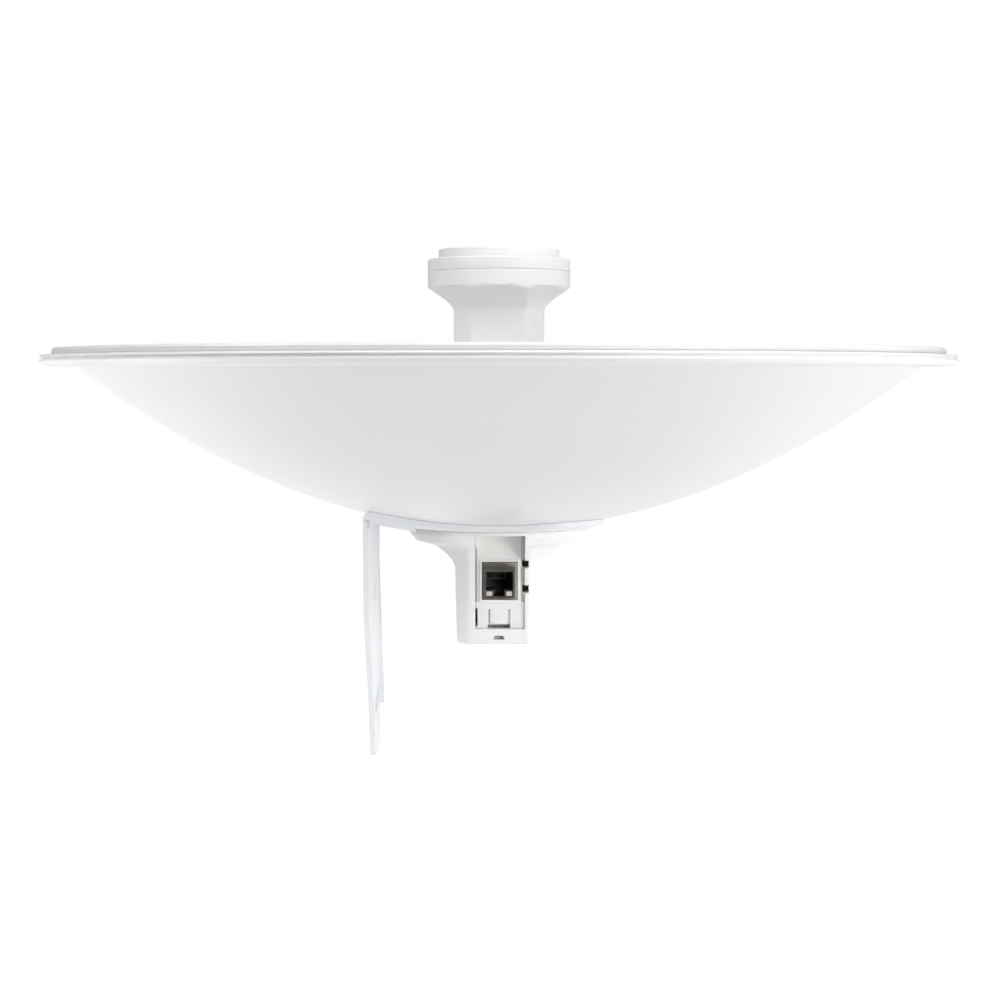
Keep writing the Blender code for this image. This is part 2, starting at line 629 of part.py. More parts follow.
def build_tray(parent):
    """Port tray: a face with the jack's raised frame, grooves at its sides and a spring tongue."""
    plastic = make_material("tray_plastic", (0.77, 0.77, 0.76), 0.5)
    low = BAY_LOW_Z + GAP
    high = BAY_TOP_Z - GAP
    left = BAY_LEFT_X + GAP
    right = BAY_RIGHT_X - GAP
    beyond = 3.0 * MM
    front = TRAY_FACE_Y - beyond
    blank = block((left, TRAY_FACE_Y, low), (right, TRAY_BACK_Y, high))
    tray = add_object("port_tray", blank, parent, plastic)
    groove_back = TRAY_FACE_Y + GROOVE_DEPTH
    grooves = bmesh.new()
    block((left - beyond, front, FRAME_LOW_Z), (GROOVE_LEFT_X, groove_back, LEFT_GROOVE_TOP_Z), grooves)
    block((GROOVE_RIGHT_X, front, FRAME_LOW_Z), (right + beyond, groove_back, high + beyond), grooves)
    block((left - beyond, front, SIDE_SLOT_Z[0]),
          (GROOVE_LEFT_X, TRAY_FACE_Y + SIDE_SLOT_DEPTH, SIDE_SLOT_Z[1]), grooves)
    combine(tray, add_cutter("side_grooves", grooves, parent), "DIFFERENCE")
    notches = bmesh.new()
    for low_z, high_z in (UPPER_NOTCH_Z, LOWER_NOTCH_Z):
        block((SIDE_NOTCH_LEFT_X, front, low_z), (right + beyond, NOTCH_BACK_Y, high_z), notches)
    combine(tray, add_cutter("side_notches", notches, parent), "DIFFERENCE")
    frame = add_cutter("jack_frame", block((FRAME_LEFT_X, TRAY_FACE_Y - FRAME_PROUD, FRAME_LOW_Z),
                                           (FRAME_RIGHT_X, TRAY_FACE_Y + TRAY_WALL, FRAME_TOP_Z)), parent)
    combine(tray, frame, "UNION")
    inside = add_cutter("tray_inside", block((CAVITY_LEFT_X, TRAY_FACE_Y + TRAY_WALL, FRAME_LOW_Z),
                                             (CAVITY_RIGHT_X, TRAY_BACK_Y + beyond, high + beyond)), parent)
    combine(tray, inside, "DIFFERENCE")
    window = block((JACK_X - JACK_HALF_WIDTH - GAP, front, JACK_LOW_Z - GAP),
                   (JACK_X + JACK_HALF_WIDTH + GAP, TRAY_FACE_Y + beyond, JACK_TOP_Z + GAP))
    combine(tray, add_cutter("jack_window", window, parent), "DIFFERENCE")
    cut = TONGUE_HALF_WIDTH + TONGUE_CUT
    cut_back = TRAY_FACE_Y + TRAY_WALL
    legs = bmesh.new()
    for side in (-1.0, 1.0):
        ends = sorted((side * TONGUE_HALF_WIDTH, side * cut))
        block((ends[0], front, TONGUE_TIP_Z - MM), (ends[1], cut_back, TONGUE_ROOT_Z), legs)
    combine(tray, add_cutter("tongue_legs", legs, parent), "DIFFERENCE")
    tip = block((-cut, front, low - beyond), (cut, TRAY_FACE_Y + TIP_CUT_DEPTH, TONGUE_TIP_Z))
    combine(tray, add_cutter("tongue_tip", tip, parent), "DIFFERENCE")


def plug_opening(margin, depth_y):
    """Plug space with its latch groove, as two overlapping boxes on one cutter each."""
    plug = block((PLUG_X - PLUG_HALF_WIDTH - margin, JACK_FACE_Y - MM, PLUG_LOW_Z - margin),
                 (PLUG_X + PLUG_HALF_WIDTH + margin, depth_y, PLUG_TOP_Z + margin))
    latch = block((PLUG_X - LATCH_HALF_WIDTH - margin, JACK_FACE_Y - MM, LATCH_LOW_Z - margin),
                  (PLUG_X + LATCH_HALF_WIDTH + margin, depth_y, PLUG_LOW_Z + MM))
    return plug, latch


def light_windows(margin, back_y):
    """The two light windows, as one cutter."""
    shape = bmesh.new()
    for side in (-1.0, 1.0):
        ends = sorted((PLUG_X + side * (LIGHT_INNER - margin), PLUG_X + side * (LIGHT_OUTER + margin)))
        block((ends[0], JACK_FACE_Y - MM, LIGHT_LOW_Z - margin),
              (ends[1], back_y, LIGHT_TOP_Z + margin), shape)
    return shape


def build_jack(parent):
    """Network jack: metal shell, dark insert, contact comb and two light windows."""
    metal = make_material("shell_metal", (0.5, 0.49, 0.48), 0.3, 1.0)
    dark = make_material("insert_plastic", (0.02, 0.02, 0.02), 0.5)
    brass = make_material("contact_metal", (0.75, 0.6, 0.3), 0.3, 1.0)
    clear = make_material("light_plastic", (0.7, 0.72, 0.7), 0.2)
    left = JACK_X - JACK_HALF_WIDTH
    right = JACK_X + JACK_HALF_WIDTH
    shell = add_object("jack_shell", block((left, JACK_FACE_Y, JACK_LOW_Z), (right, JACK_BACK_Y, JACK_TOP_Z)),
                       parent, metal)
    inside = block((left + JACK_SHEET, JACK_FACE_Y + JACK_SHEET, JACK_LOW_Z + JACK_SHEET),
                   (right - JACK_SHEET, JACK_BACK_Y + MM, JACK_TOP_Z - JACK_SHEET))
    combine(shell, add_cutter("shell_inside", inside, parent), "DIFFERENCE")
    for name, shape in zip(("shell_plug", "shell_latch"), plug_opening(GAP, JACK_FACE_Y + MM)):
        combine(shell, add_cutter(name, shape, parent), "DIFFERENCE")
    combine(shell, add_cutter("shell_lights", light_windows(GAP, JACK_FACE_Y + MM), parent), "DIFFERENCE")

    skin_gap = JACK_SHEET + GAP
    insert = add_object("jack_insert", block((left + skin_gap, JACK_FACE_Y + skin_gap, JACK_LOW_Z + skin_gap),
                                             (right - skin_gap, JACK_BACK_Y - GAP, JACK_TOP_Z - skin_gap)),
                        parent, dark)
    for name, shape in zip(("insert_plug", "insert_latch"), plug_opening(0.0, PLUG_END_Y)):
        combine(insert, add_cutter(name, shape, parent), "DIFFERENCE")
    combine(insert, add_cutter("insert_lights", light_windows(GAP, LIGHT_BACK_Y + GAP), parent), "DIFFERENCE")

    for name, side in (("light_window_left", -1.0), ("light_window_right", 1.0)):
        ends = sorted((PLUG_X + side * LIGHT_INNER, PLUG_X + side * LIGHT_OUTER))
        window = block((ends[0], JACK_FACE_Y + GAP, LIGHT_LOW_Z), (ends[1], LIGHT_BACK_Y, LIGHT_TOP_Z))
        add_object(name, window, parent, clear)

    build_contacts(parent, brass)


def build_contacts(parent, brass):
    """Eight sloping contacts on a carrier bar at the back of the plug space."""
    half = CONTACT_PITCH * CONTACT_COUNT / 2.0
    bar_front = PLUG_END_Y - GAP - CARRIER_THICKNESS
    top = PLUG_TOP_Z - GAP
    contacts = add_object("jack_contacts", block((PLUG_X - half, bar_front, top - CARRIER_HEIGHT),
                                                 (PLUG_X + half, PLUG_END_Y - GAP, top)), parent, brass)
    front = JACK_FACE_Y + CONTACT_SETBACK
    rear = bar_front + CONTACT_ROOT
    low = top - CONTACT_DROP
    outline = [(front, top), (front, top - CONTACT_THICKNESS), (rear, low - CONTACT_THICKNESS), (rear, low)]
    wires = bmesh.new()
    for index in range(CONTACT_COUNT):
        x = PLUG_X + (index - (CONTACT_COUNT - 1) / 2.0) * CONTACT_PITCH
        loops = []
        for end in (x - CONTACT_HALF_WIDTH, x + CONTACT_HALF_WIDTH):
            loops.append([wires.verts.new((end, y, z)) for y, z in outline])
        skin(wires, loops, wrap=False)
        wires.faces.new(loops[0])
        wires.faces.new(loops[1])
    combine(contacts, add_cutter("contact_wires", wires, parent), "UNION")


def build_board(parent):
    """Circuit board behind the jack, between the tray's side walls."""
    green = make_material("board_laminate", (0.05, 0.16, 0.09), 0.5)
    low = (CAVITY_LEFT_X + GAP, BOARD_FRONT_Y, FRAME_LOW_Z + GAP)
    high = (CAVITY_RIGHT_X - GAP, BOARD_FRONT_Y + BOARD_THICKNESS, BAY_TOP_Z - MM)
    add_object("circuit_board", block(low, high), parent, green)


def screw_holes(parent):
    """Clearance holes for the hub screws, shared by every piece they pass."""
    shape = bmesh.new()
    steps = 12
    low = SCREW_END_Z - 0.5 * MM
    high = HEAD_LOW_Z + MM
    for place in screw_places():
        loops = []
        for height in (low, high):
            ring = arc_points(place, SCREW_HOLE_RADIUS, 0.0, 360.0 - 360.0 / steps, steps - 1)
            loops.append([shape.verts.new((x, y, height)) for x, y in ring])
        skin(shape, loops, wrap=False)
        shape.faces.new(loops[0])
        shape.faces.new(loops[1])
    return add_cutter("screw_hole_cutter", shape, parent)


def main():
    """Build the antenna around its dish axis."""
    clear_scene()
    axis = bpy.data.objects.new("dish_axis", None)
    axis.location = Vector((AXIS_TO_BRACKET_FACE, 0.0, MOUNT_DROP))
    bpy.context.scene.collection.objects.link(axis)
    holes = screw_holes(axis)
    build_dish(axis, holes)
    build_hub_stack(axis, holes)
    build_feed(axis)
    build_bracket(axis, holes)
    build_housing(axis, holes)
    build_tray(axis)
    build_jack(axis)
    build_board(axis)


main()
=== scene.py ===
"""Studio scene of the wireless bridge dish antenna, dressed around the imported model.

Shapes are drawn in metres around the dish axis, with the back of the flat hub at height 0, and are then
moved to the place that the frame gives.
"""
import math

import bmesh
import bpy
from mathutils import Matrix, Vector


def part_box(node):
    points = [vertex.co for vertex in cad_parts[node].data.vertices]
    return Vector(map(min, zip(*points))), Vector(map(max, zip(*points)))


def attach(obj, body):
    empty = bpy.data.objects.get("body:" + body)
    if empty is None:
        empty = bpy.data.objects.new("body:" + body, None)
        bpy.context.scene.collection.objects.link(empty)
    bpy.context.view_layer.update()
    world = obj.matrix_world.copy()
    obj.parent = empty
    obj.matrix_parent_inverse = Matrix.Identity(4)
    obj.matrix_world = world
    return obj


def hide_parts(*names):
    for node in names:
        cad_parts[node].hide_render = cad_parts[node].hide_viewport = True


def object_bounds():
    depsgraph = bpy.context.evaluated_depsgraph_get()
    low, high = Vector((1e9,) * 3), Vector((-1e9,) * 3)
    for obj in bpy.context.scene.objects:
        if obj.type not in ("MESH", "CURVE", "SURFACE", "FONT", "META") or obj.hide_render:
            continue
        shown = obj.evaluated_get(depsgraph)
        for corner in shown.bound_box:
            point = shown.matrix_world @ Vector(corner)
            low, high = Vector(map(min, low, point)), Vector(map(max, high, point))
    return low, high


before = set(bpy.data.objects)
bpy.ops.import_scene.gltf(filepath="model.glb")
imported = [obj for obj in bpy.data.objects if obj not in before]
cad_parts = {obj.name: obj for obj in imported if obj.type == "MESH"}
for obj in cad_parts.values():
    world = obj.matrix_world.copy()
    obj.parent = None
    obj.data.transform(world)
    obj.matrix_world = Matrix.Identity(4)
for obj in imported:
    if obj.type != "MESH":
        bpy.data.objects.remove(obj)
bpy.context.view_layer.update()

MM = 0.001

# Places taken from the frame

cap_low, cap_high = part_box("feed_cap")
dish_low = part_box("reflector_dish")[0]
AXIS = Vector(((cap_low.x + cap_high.x) / 2.0, (cap_low.y + cap_high.y) / 2.0, dish_low.z))

# Driving sizes, those of the main forms as in the solids

RIM_RADIUS = 210.0 * MM
LIP_RADIUS = 204.5 * MM
LIP_THICKNESS = 2.6 * MM
SHELF_RADIUS = 206.5 * MM
SHELF_Z = 71.4 * MM
ROLL_LOW_Z = 72.2 * MM
ROLL_WIDEST_Z = 73.9 * MM
RIM_GROOVE_LOW_Z = 74.4 * MM
RIM_GROOVE_TOP_Z = 75.9 * MM
RIM_GROOVE_DEPTH = 1.1 * MM
BEAD_TOP_Z = 76.7 * MM
LIP_TOP_Z = 80.0 * MM
DISH_THICKNESS = 1.3 * MM
DISH_CURVE = 2.02
DISH_VERTEX_DROP = 4.0 * MM
HUB_HOLE_RADIUS = 25.6 * MM
HUB_HOLE_BREAK = 0.3 * MM
RIM_CREASE = 0.3 * MM
LIP_CREST_DROP = 0.2 * MM

NECK_FLAT = 20.9 * MM
NECK_FLAT_HALF_WIDTH = 13.1 * MM
NECK_LOW_Z = -2.7 * MM
NECK_FLARE_Z = 97.3 * MM
NECK_FLARE_END_Z = 108.4 * MM
NECK_FLARE_REACH = 12.4 * MM
NECK_FLARE_POWER = 1.6
HEAD_RADIUS = 33.3 * MM
HEAD_SEAM_Z = 115.7 * MM
HEAD_SEAM_ROUND = 0.45 * MM
HEAD_TOP_Z = 121.5 * MM
CAP_RADIUS = 28.2 * MM
CAP_TOP_Z = 126.3 * MM
GAP = 0.3 * MM
HAIRLINE = 0.08 * MM

SEAL_INNER_RADIUS = 27.0 * MM
SEAL_OUTER_RADIUS = 36.0 * MM
SEAL_THICKNESS = 1.0 * MM
COLLAR_RADIUS = 38.0 * MM
COLLAR_HEIGHT = 6.0 * MM
SCREW_CIRCLE = 31.5 * MM
SCREW_COUNT = 4
SCREW_RADIUS = 2.0 * MM
SCREW_HOLE_RADIUS = 2.4 * MM
SCREW_END_Z = -6.6 * MM
SCREW_HEAD_RADIUS = 3.6 * MM
SCREW_HEAD_HEIGHT = 2.6 * MM
THREAD_TURNS = 18
THREAD_DEPTH = 0.25 * MM
SHANK_LENGTH = 5.0 * MM
RECESS_DEPTH = 1.4 * MM
RECESS_FLOOR = (0.9 * MM, 0.30 * MM)
RECESS_MOUTH = (2.0 * MM, 0.42 * MM)
RECESS_TURN = 0.4
WASHER_RADIUS = 4.8 * MM
WASHER_THICKNESS = 1.0 * MM
COLLAR_LOW_Z = DISH_THICKNESS + SEAL_THICKNESS + 2.0 * GAP
COLLAR_TOP_Z = COLLAR_LOW_Z + COLLAR_HEIGHT
WASHER_LOW_Z = COLLAR_TOP_Z + GAP
SCREW_HEAD_Z = WASHER_LOW_Z + WASHER_THICKNESS + GAP

SHEET = 2.4 * MM
AXIS_TO_BRACKET_FACE = 60.9 * MM
FLANGE_NEAR_Y = -46.0 * MM
FLANGE_FAR_Y = 34.0 * MM
FLANGE_END_Z = -112.0 * MM
PLATE_NEAR_Y = -48.0 * MM
PLATE_RIGHT_X = 48.0 * MM
PLATE_CORNER = 44.0 * MM
PLATE_SHOULDER_X = -12.0 * MM
PLATE_SHOULDER_ROUND = 20.0 * MM
FRONT_LIP_DEPTH = 4.9 * MM
FRONT_LIP_RIGHT_X = -37.5 * MM
RETURN_LIP_WIDTH = 4.6 * MM
RETURN_LIP_TOP_Z = -20.0 * MM
RETURN_LIP_END_Z = -93.0 * MM
RELIEF_LEFT = 1.1 * MM
RELIEF_RIGHT = 3.6 * MM
RELIEF_DEPTH = 3.4 * MM
RELIEF_LOW_Z = -0.6 * MM
RELIEF_TOP_Z = 2.9 * MM
PIVOT_HOLE_RADIUS = 5.3 * MM
PIVOT_Y = -3.0 * MM
PIVOT_Z = -33.0 * MM
SLOT_RADIUS = 56.0 * MM
SLOT_HALF_WIDTH = 4.2 * MM
SLOT_START_DEG = 4.0
SLOT_END_DEG = 26.0
BEND_RADIUS = 3.2 * MM
BLANK_LOW_Z = -12.0 * MM
BLANK_TOP_Z = 20.0 * MM
TRIM_LOW_Z = -60.0 * MM
TRIM_REACH = 100.0 * MM
HUB_CUTTER_REACH = 15.0 * MM

FOOT_RADIUS = 42.2 * MM
FOOT_TOP_Z = -3.0 * MM
FOOT_EDGE_Z = -5.6 * MM
FOOT_ROUND = 0.8 * MM
CONE_TOP_RADIUS = 39.2 * MM
CONE_TOP_Z = -9.2 * MM
CONE_SLOPE = 3.56
BODY_FLAT = 20.6 * MM
BODY_FLAT_HALF_WIDTH = 14.2 * MM
BODY_END_FLAT = 19.8 * MM
BODY_END_Z = -57.0 * MM
FLARE_LOW_Z = -21.0 * MM
FLARE_TOP_Z = -12.4 * MM
FLARE_REACH = 7.4 * MM
FLARE_POWER = 1.5
END_ROUND = 1.6 * MM

BAY_LEFT_X = -11.0 * MM
BAY_RIGHT_X = 11.9 * MM
BAY_TOP_Z = -4.6 * MM
BAY_LOW_Z = -49.6 * MM
BAY_BACK_Y = 3.5 * MM
BAY_CUTTER_FRONT_Y = -60.0 * MM
NOTCH_RIGHT_X = 13.7 * MM
NOTCH_FRONT_Y = -24.0 * MM
NOTCH_BACK_Y = -8.0 * MM
NOTCH_HEIGHTS = ((-21.1 * MM, -17.6 * MM), (-32.7 * MM, -29.2 * MM))
END_SLOT_HALF_WIDTH = 2.7 * MM
END_SLOT_Z = (-54.5 * MM, -52.8 * MM)
END_SLOT_BACK_Y = -16.0 * MM

TRAY_FACE_Y = -18.6 * MM
TRAY_BACK_Y = 2.6 * MM
TRAY_WALL = 1.3 * MM
GROOVE_LEFT_X = -10.0 * MM
GROOVE_RIGHT_X = 10.2 * MM
GROOVE_DEPTH = 1.5 * MM
LEFT_GROOVE_TOP_Z = -12.2 * MM
CAVITY_LEFT_X = -8.4 * MM
CAVITY_RIGHT_X = 9.3 * MM
FRAME_LEFT_X = -8.8 * MM
FRAME_RIGHT_X = 9.5 * MM
FRAME_PROUD = 0.8 * MM
FRAME_TOP_Z = -17.7 * MM
FRAME_LOW_Z = -37.2 * MM
SIDE_SLOT_Z = (-48.6 * MM, -40.1 * MM)
TONGUE_HALF_WIDTH = 4.0 * MM
TONGUE_CUT = 1.2 * MM
TIP_CUT_DEPTH = 7.0 * MM
TONGUE_ROOT_Z = -40.6 * MM
TONGUE_TIP_Z = -47.6 * MM

JACK_X = 0.3 * MM
JACK_HALF_WIDTH = 8.0 * MM
JACK_TOP_Z = -18.7 * MM
JACK_LOW_Z = -35.8 * MM
JACK_FACE_Y = -18.9 * MM
JACK_BACK_Y = -1.5 * MM
JACK_SHEET = 0.5 * MM
JACK_EDGE_ROUND = 0.12 * MM
PLUG_HALF_WIDTH = 6.1 * MM
PLUG_X = 0.1 * MM
PLUG_TOP_Z = -23.3 * MM
PLUG_LOW_Z = -31.5 * MM
PLUG_END_Y = -6.0 * MM
LATCH_HALF_WIDTH = 2.3 * MM
LATCH_LOW_Z = -34.4 * MM
LIGHT_INNER = 3.2 * MM
LIGHT_OUTER = 6.0 * MM
LIGHT_TOP_Z = -32.2 * MM
LIGHT_LOW_Z = -34.4 * MM
LIGHT_BACK_Y = -15.4 * MM
CONTACT_COUNT = 8
CONTACT_PITCH = 1.02 * MM
CONTACT_RADIUS = 0.22 * MM
CONTACT_TIP_INSET = 3.4 * MM
CONTACT_DROP = 3.3 * MM
CONTACT_FIRST_SLOPE = 0.25
CARRIER_DEPTH = 1.2 * MM
CARRIER_HEIGHT = 4.2 * MM

BOARD_FRONT_Y = -1.2 * MM
BOARD_THICKNESS = 1.6 * MM

# Corners around the turned pieces and cutters

DISH_SEGMENTS = 288
TRIM_SEGMENTS = 240
FEED_SEGMENTS = 192
HUB_SEGMENTS = 128
WASHER_SEGMENTS = 64
PIVOT_HOLE_SEGMENTS = 60
SCREW_SEGMENTS = 48
SCREW_HOLE_SEGMENTS = 32
CONTACT_SEGMENTS = 10

# Camera, matched to the photograph

CAMERA_DISTANCE = 900.0 * MM
CAMERA_HEIGHT = 67.8 * MM
CAMERA_SIDE = 0.47 * MM
FOCAL_PIXELS = 1913.0
IMAGE_PIXELS = 1000.0
HORIZON_ROW = 375.0
SENSOR_MM = 36.0

# Studio

FLOOR_DROP = 450.0 * MM
FLOOR_NEAR_Y = -1.3
FLOOR_REACH = 6.0
FLOOR_GREY = 0.2
FLOOR_GLOW_UNDER = 0.43
FLOOR_GLOW_AROUND = 1.12
FLOOR_BESIDE_X = (0.25, 0.65)
FLOOR_BEHIND_Y = (0.35, 0.9)
FLOOR_BEFORE_Y = (-0.8, -0.35)
ROOM_BACK = 0.2
ROOM_BACK_FROM = (0.2, 0.9)
ROOM_TINT = (0.97, 0.985, 1.0, 1.0)
WHITE = (1.0, 1.0, 1.0, 1.0)


# Mesh tools

def link(name, shape, smooth_deg=38.0):
    """Turn a bmesh drawn around the dish axis into an object at its place."""
    bmesh.ops.recalc_face_normals(shape, faces=shape.faces)
    mesh = bpy.data.meshes.new(name)
    shape.to_mesh(mesh)
    shape.free()
    if smooth_deg:
        mesh.shade_smooth()
        mesh.set_sharp_from_angle(angle=math.radians(smooth_deg))
    item = bpy.data.objects.new(name, mesh)
    bpy.context.scene.collection.objects.link(item)
    item.location = AXIS
    return item


def apply_modifiers(item, smooth_deg=38.0):
    """Bake an object's modifiers into its mesh."""
    bpy.context.view_layer.update()
    graph = bpy.context.evaluated_depsgraph_get()
    mesh = bpy.data.meshes.new_from_object(item.evaluated_get(graph))
    item.modifiers.clear()
    item.data = mesh
    mesh.shade_smooth()
    mesh.set_sharp_from_angle(angle=math.radians(smooth_deg))


def cut(item, shapes, operation="DIFFERENCE"):
    """Apply Booleans one after another with throwaway cutters."""
    cutters = []
    for shape in shapes:
        cutter = link("cutter", shape, smooth_deg=None)
        step = item.modifiers.new("cut", "BOOLEAN")
        step.operation = operation
        step.solver = "EXACT"
        step.object = cutter
        cutters.append(cutter)
    apply_modifiers(item)
    for cutter in cutters:
        bpy.data.objects.remove(cutter, do_unlink=True)


def bevel(item, width, segments=2, limit_deg=40.0):
    """Round every sharp edge of a plain-faced piece."""
    step = item.modifiers.new("round", "BEVEL")
    step.width = width
    step.segments = segments
    step.limit_method = "ANGLE"
    step.angle_limit = math.radians(limit_deg)
    step.use_clamp_overlap = True
    step.harden_normals = False
    apply_modifiers(item, 50.0)


def skin(shape, loops, wrap):
    """Faces between neighbouring loops of corners; a loop of one corner is a pole."""
    pairs = list(zip(loops, loops[1:]))
    if wrap:
        pairs.append((loops[-1], loops[0]))
    for low, high in pairs:
        count = max(len(low), len(high))
        for index in range(count):
            after = (index + 1) % count
            if len(low) == 1:
                shape.faces.new((low[0], high[index], high[after]))
            elif len(high) == 1:
                shape.faces.new((low[index], low[after], high[0]))
            else:
                shape.faces.new((low[index], low[after], high[after], high[index]))


def turned(profile, segments, wrap=True, center=(0.0, 0.0), shape=None):
    """Solid turned from an outline of (radius, height) points."""
    shape = shape or bmesh.new()
    loops = []
    for radius, height in profile:
        if radius < 1e-9:
            loops.append([shape.verts.new((center[0], center[1], height))])
            continue
        loop = []
        for index in range(segments):
            angle = 2.0 * math.pi * index / segments
            x = center[0] + radius * math.cos(angle)
            y = center[1] + radius * math.sin(angle)
            loop.append(shape.verts.new((x, y, height)))
        loops.append(loop)
    skin(shape, loops, wrap)
    return shape


def stacked(levels, closed_ends=True):
    """Solid through a stack of equal-count loops of (x, y, z) corners."""
    shape = bmesh.new()
    loops = [[shape.verts.new(point) for point in level] for level in levels]
    skin(shape, loops, wrap=not closed_ends)
    if closed_ends:
        shape.faces.new(loops[0])
        shape.faces.new(loops[-1])
    return shape


def block(low, high, shape=None):
    """Box between two corners, added to a bmesh when one is given."""
    shape = shape or bmesh.new()
    corners = []
    for x in (low[0], high[0]):
        for y in (low[1], high[1]):
            for z in (low[2], high[2]):
                corners.append(shape.verts.new((x, y, z)))
    for ids in ((0, 1, 3, 2), (4, 6, 7, 5), (0, 4, 5, 1), (2, 3, 7, 6), (0, 2, 6, 4), (1, 5, 7, 3)):
        shape.faces.new([corners[i] for i in ids])
    return shape


def prism(outline, axis, low, high):
    """Outline of (u, v) points pushed along X (u, v = y, z), Y (u, v = x, z) or Z (u, v = x, y)."""
    place = {
        "X": lambda u, v, w: (w, u, v),
        "Y": lambda u, v, w: (u, w, v),
        "Z": lambda u, v, w: (u, v, w),
    }[axis]
    return stacked([[place(u, v, low) for u, v in outline], [place(u, v, high) for u, v in outline]])


def arc_points(center, radius, start_deg, end_deg, steps):
    """Points on an arc of a plane outline."""
    points = []
    for index in range(steps + 1):
        angle = math.radians(start_deg + (end_deg - start_deg) * index / steps)
        points.append((center[0] + radius * math.cos(angle), center[1] + radius * math.sin(angle)))
    return points


def rounded(corners, steps=6, closed=True):
    """Outline through (u, v, fillet radius) corners, each rounded by its own radius."""
    points = []
    count = len(corners)
    for index, (u, v, radius) in enumerate(corners):
        here = Vector((u, v))
        if radius <= 0.0 or (not closed and index in (0, count - 1)):
            points.append((u, v))
            continue
        before = Vector(corners[index - 1][:2]) - here
        after = Vector(corners[(index + 1) % count][:2]) - here
        one = before.normalized()
        two = after.normalized()
        half = one.angle(two) / 2.0
        reach = min(radius / math.tan(half), 0.49 * before.length, 0.49 * after.length)
        radius = reach * math.tan(half)
        middle = here + (one + two).normalized() * (radius / math.sin(half))
        start = here + one * reach - middle
        end = here + two * reach - middle
        turn = start.angle_signed(end)
        for step in range(steps + 1):
            angle = -turn * step / steps
            cosine = math.cos(angle)
            sine = math.sin(angle)
            points.append((middle.x + start.x * cosine - start.y * sine,
                           middle.y + start.x * sine + start.y * cosine))
    return points


def spread(start, end, count):
    """Even values from start to end, both included."""
    return [start + (end - start) * index / (count - 1) for index in range(count)]


# Chamfered-square section shared by the feed's neck and the rear housing

FACE_STEPS = 40
EDGE_SHARPNESS = 58.0


def section_loop(flat, half_width, round_limit, height, round_least=0.0):
    """Chamfered square with flats of one width and softly rounded edges, kept between two circles."""
    widest_flat = math.sqrt(round_limit ** 2 - half_width ** 2)
    corner = math.atan2(half_width, min(flat, widest_flat))
    chamfer = (flat + half_width) / math.sqrt(2.0)
    apothems = [flat, chamfer] * 4
    points = []
    for face in range(8):
        middle = face * math.pi / 4.0
        half_angle = corner if face % 2 == 0 else math.pi / 4.0 - corner
        for index in range(FACE_STEPS):
            angle = middle - half_angle * math.cos(math.pi * (index + 0.5) / FACE_STEPS)
            pulls = [1.0 / round_limit]
            for turn, apothem in enumerate(apothems):
                pulls.append(max(0.0, math.cos(angle - turn * math.pi / 4.0)) / apothem)
            strongest = max(pulls)
            total = sum((pull / strongest) ** EDGE_SHARPNESS for pull in pulls)
            reach = max(total ** (-1.0 / EDGE_SHARPNESS) / strongest, round_least)
            points.append((reach * math.cos(angle), reach * math.sin(angle), height))
    return points


# Materials

MOTTLE_SCALE = 35.0
GLOSS_SPREAD = 0.1
GRAIN_HEIGHT = 0.2 * MM


def material(name, color, roughness, metallic=0.0, grain=2400.0, bump=0.02, mottle=0.02, round_edge=0.0,
             coat=0.0, specular=0.5):
    """Procedural surface: a faint colour mottle, uneven gloss, fine grain in the bump, soft edges."""
    made = bpy.data.materials.new(name)
    made.use_nodes = True
    nodes = made.node_tree.nodes
    links = made.node_tree.links
    shader = nodes["Principled BSDF"]
    shader.inputs["Metallic"].default_value = metallic
    shader.inputs["Coat Weight"].default_value = coat
    shader.inputs["Specular IOR Level"].default_value = specular

    place = nodes.new("ShaderNodeTexCoord")
    cloud = nodes.new("ShaderNodeTexNoise")
    cloud.inputs["Scale"].default_value = MOTTLE_SCALE
    cloud.inputs["Detail"].default_value = 3.0
    links.new(place.outputs["Object"], cloud.inputs["Vector"])

    tint = nodes.new("ShaderNodeMix")
    tint.data_type = "RGBA"
    tint.inputs["A"].default_value = (*[c * (1.0 - mottle) for c in color], 1.0)
    tint.inputs["B"].default_value = (*[min(1.0, c * (1.0 + mottle)) for c in color], 1.0)
    links.new(cloud.outputs["Fac"], tint.inputs["Factor"])
    links.new(tint.outputs["Result"], shader.inputs["Base Color"])

    gloss = nodes.new("ShaderNodeMapRange")
    gloss.inputs["To Min"].default_value = roughness * (1.0 - GLOSS_SPREAD)
    gloss.inputs["To Max"].default_value = min(1.0, roughness * (1.0 + GLOSS_SPREAD))
    links.new(cloud.outputs["Fac"], gloss.inputs["Value"])
    links.new(gloss.outputs["Result"], shader.inputs["Roughness"])

    fine = nodes.new("ShaderNodeTexNoise")
    fine.inputs["Scale"].default_value = grain
    fine.inputs["Detail"].default_value = 2.0
    links.new(place.outputs["Object"], fine.inputs["Vector"])
    relief = nodes.new("ShaderNodeBump")
    relief.inputs["Strength"].default_value = bump
    relief.inputs["Distance"].default_value = GRAIN_HEIGHT
    links.new(fine.outputs["Fac"], relief.inputs["Height"])
    if round_edge > 0.0:
        edge = nodes.new("ShaderNodeBevel")
        edge.samples = 4
        edge.inputs["Radius"].default_value = round_edge
        links.new(edge.outputs["Normal"], relief.inputs["Normal"])
    links.new(relief.outputs["Normal"], shader.inputs["Normal"])
    return made


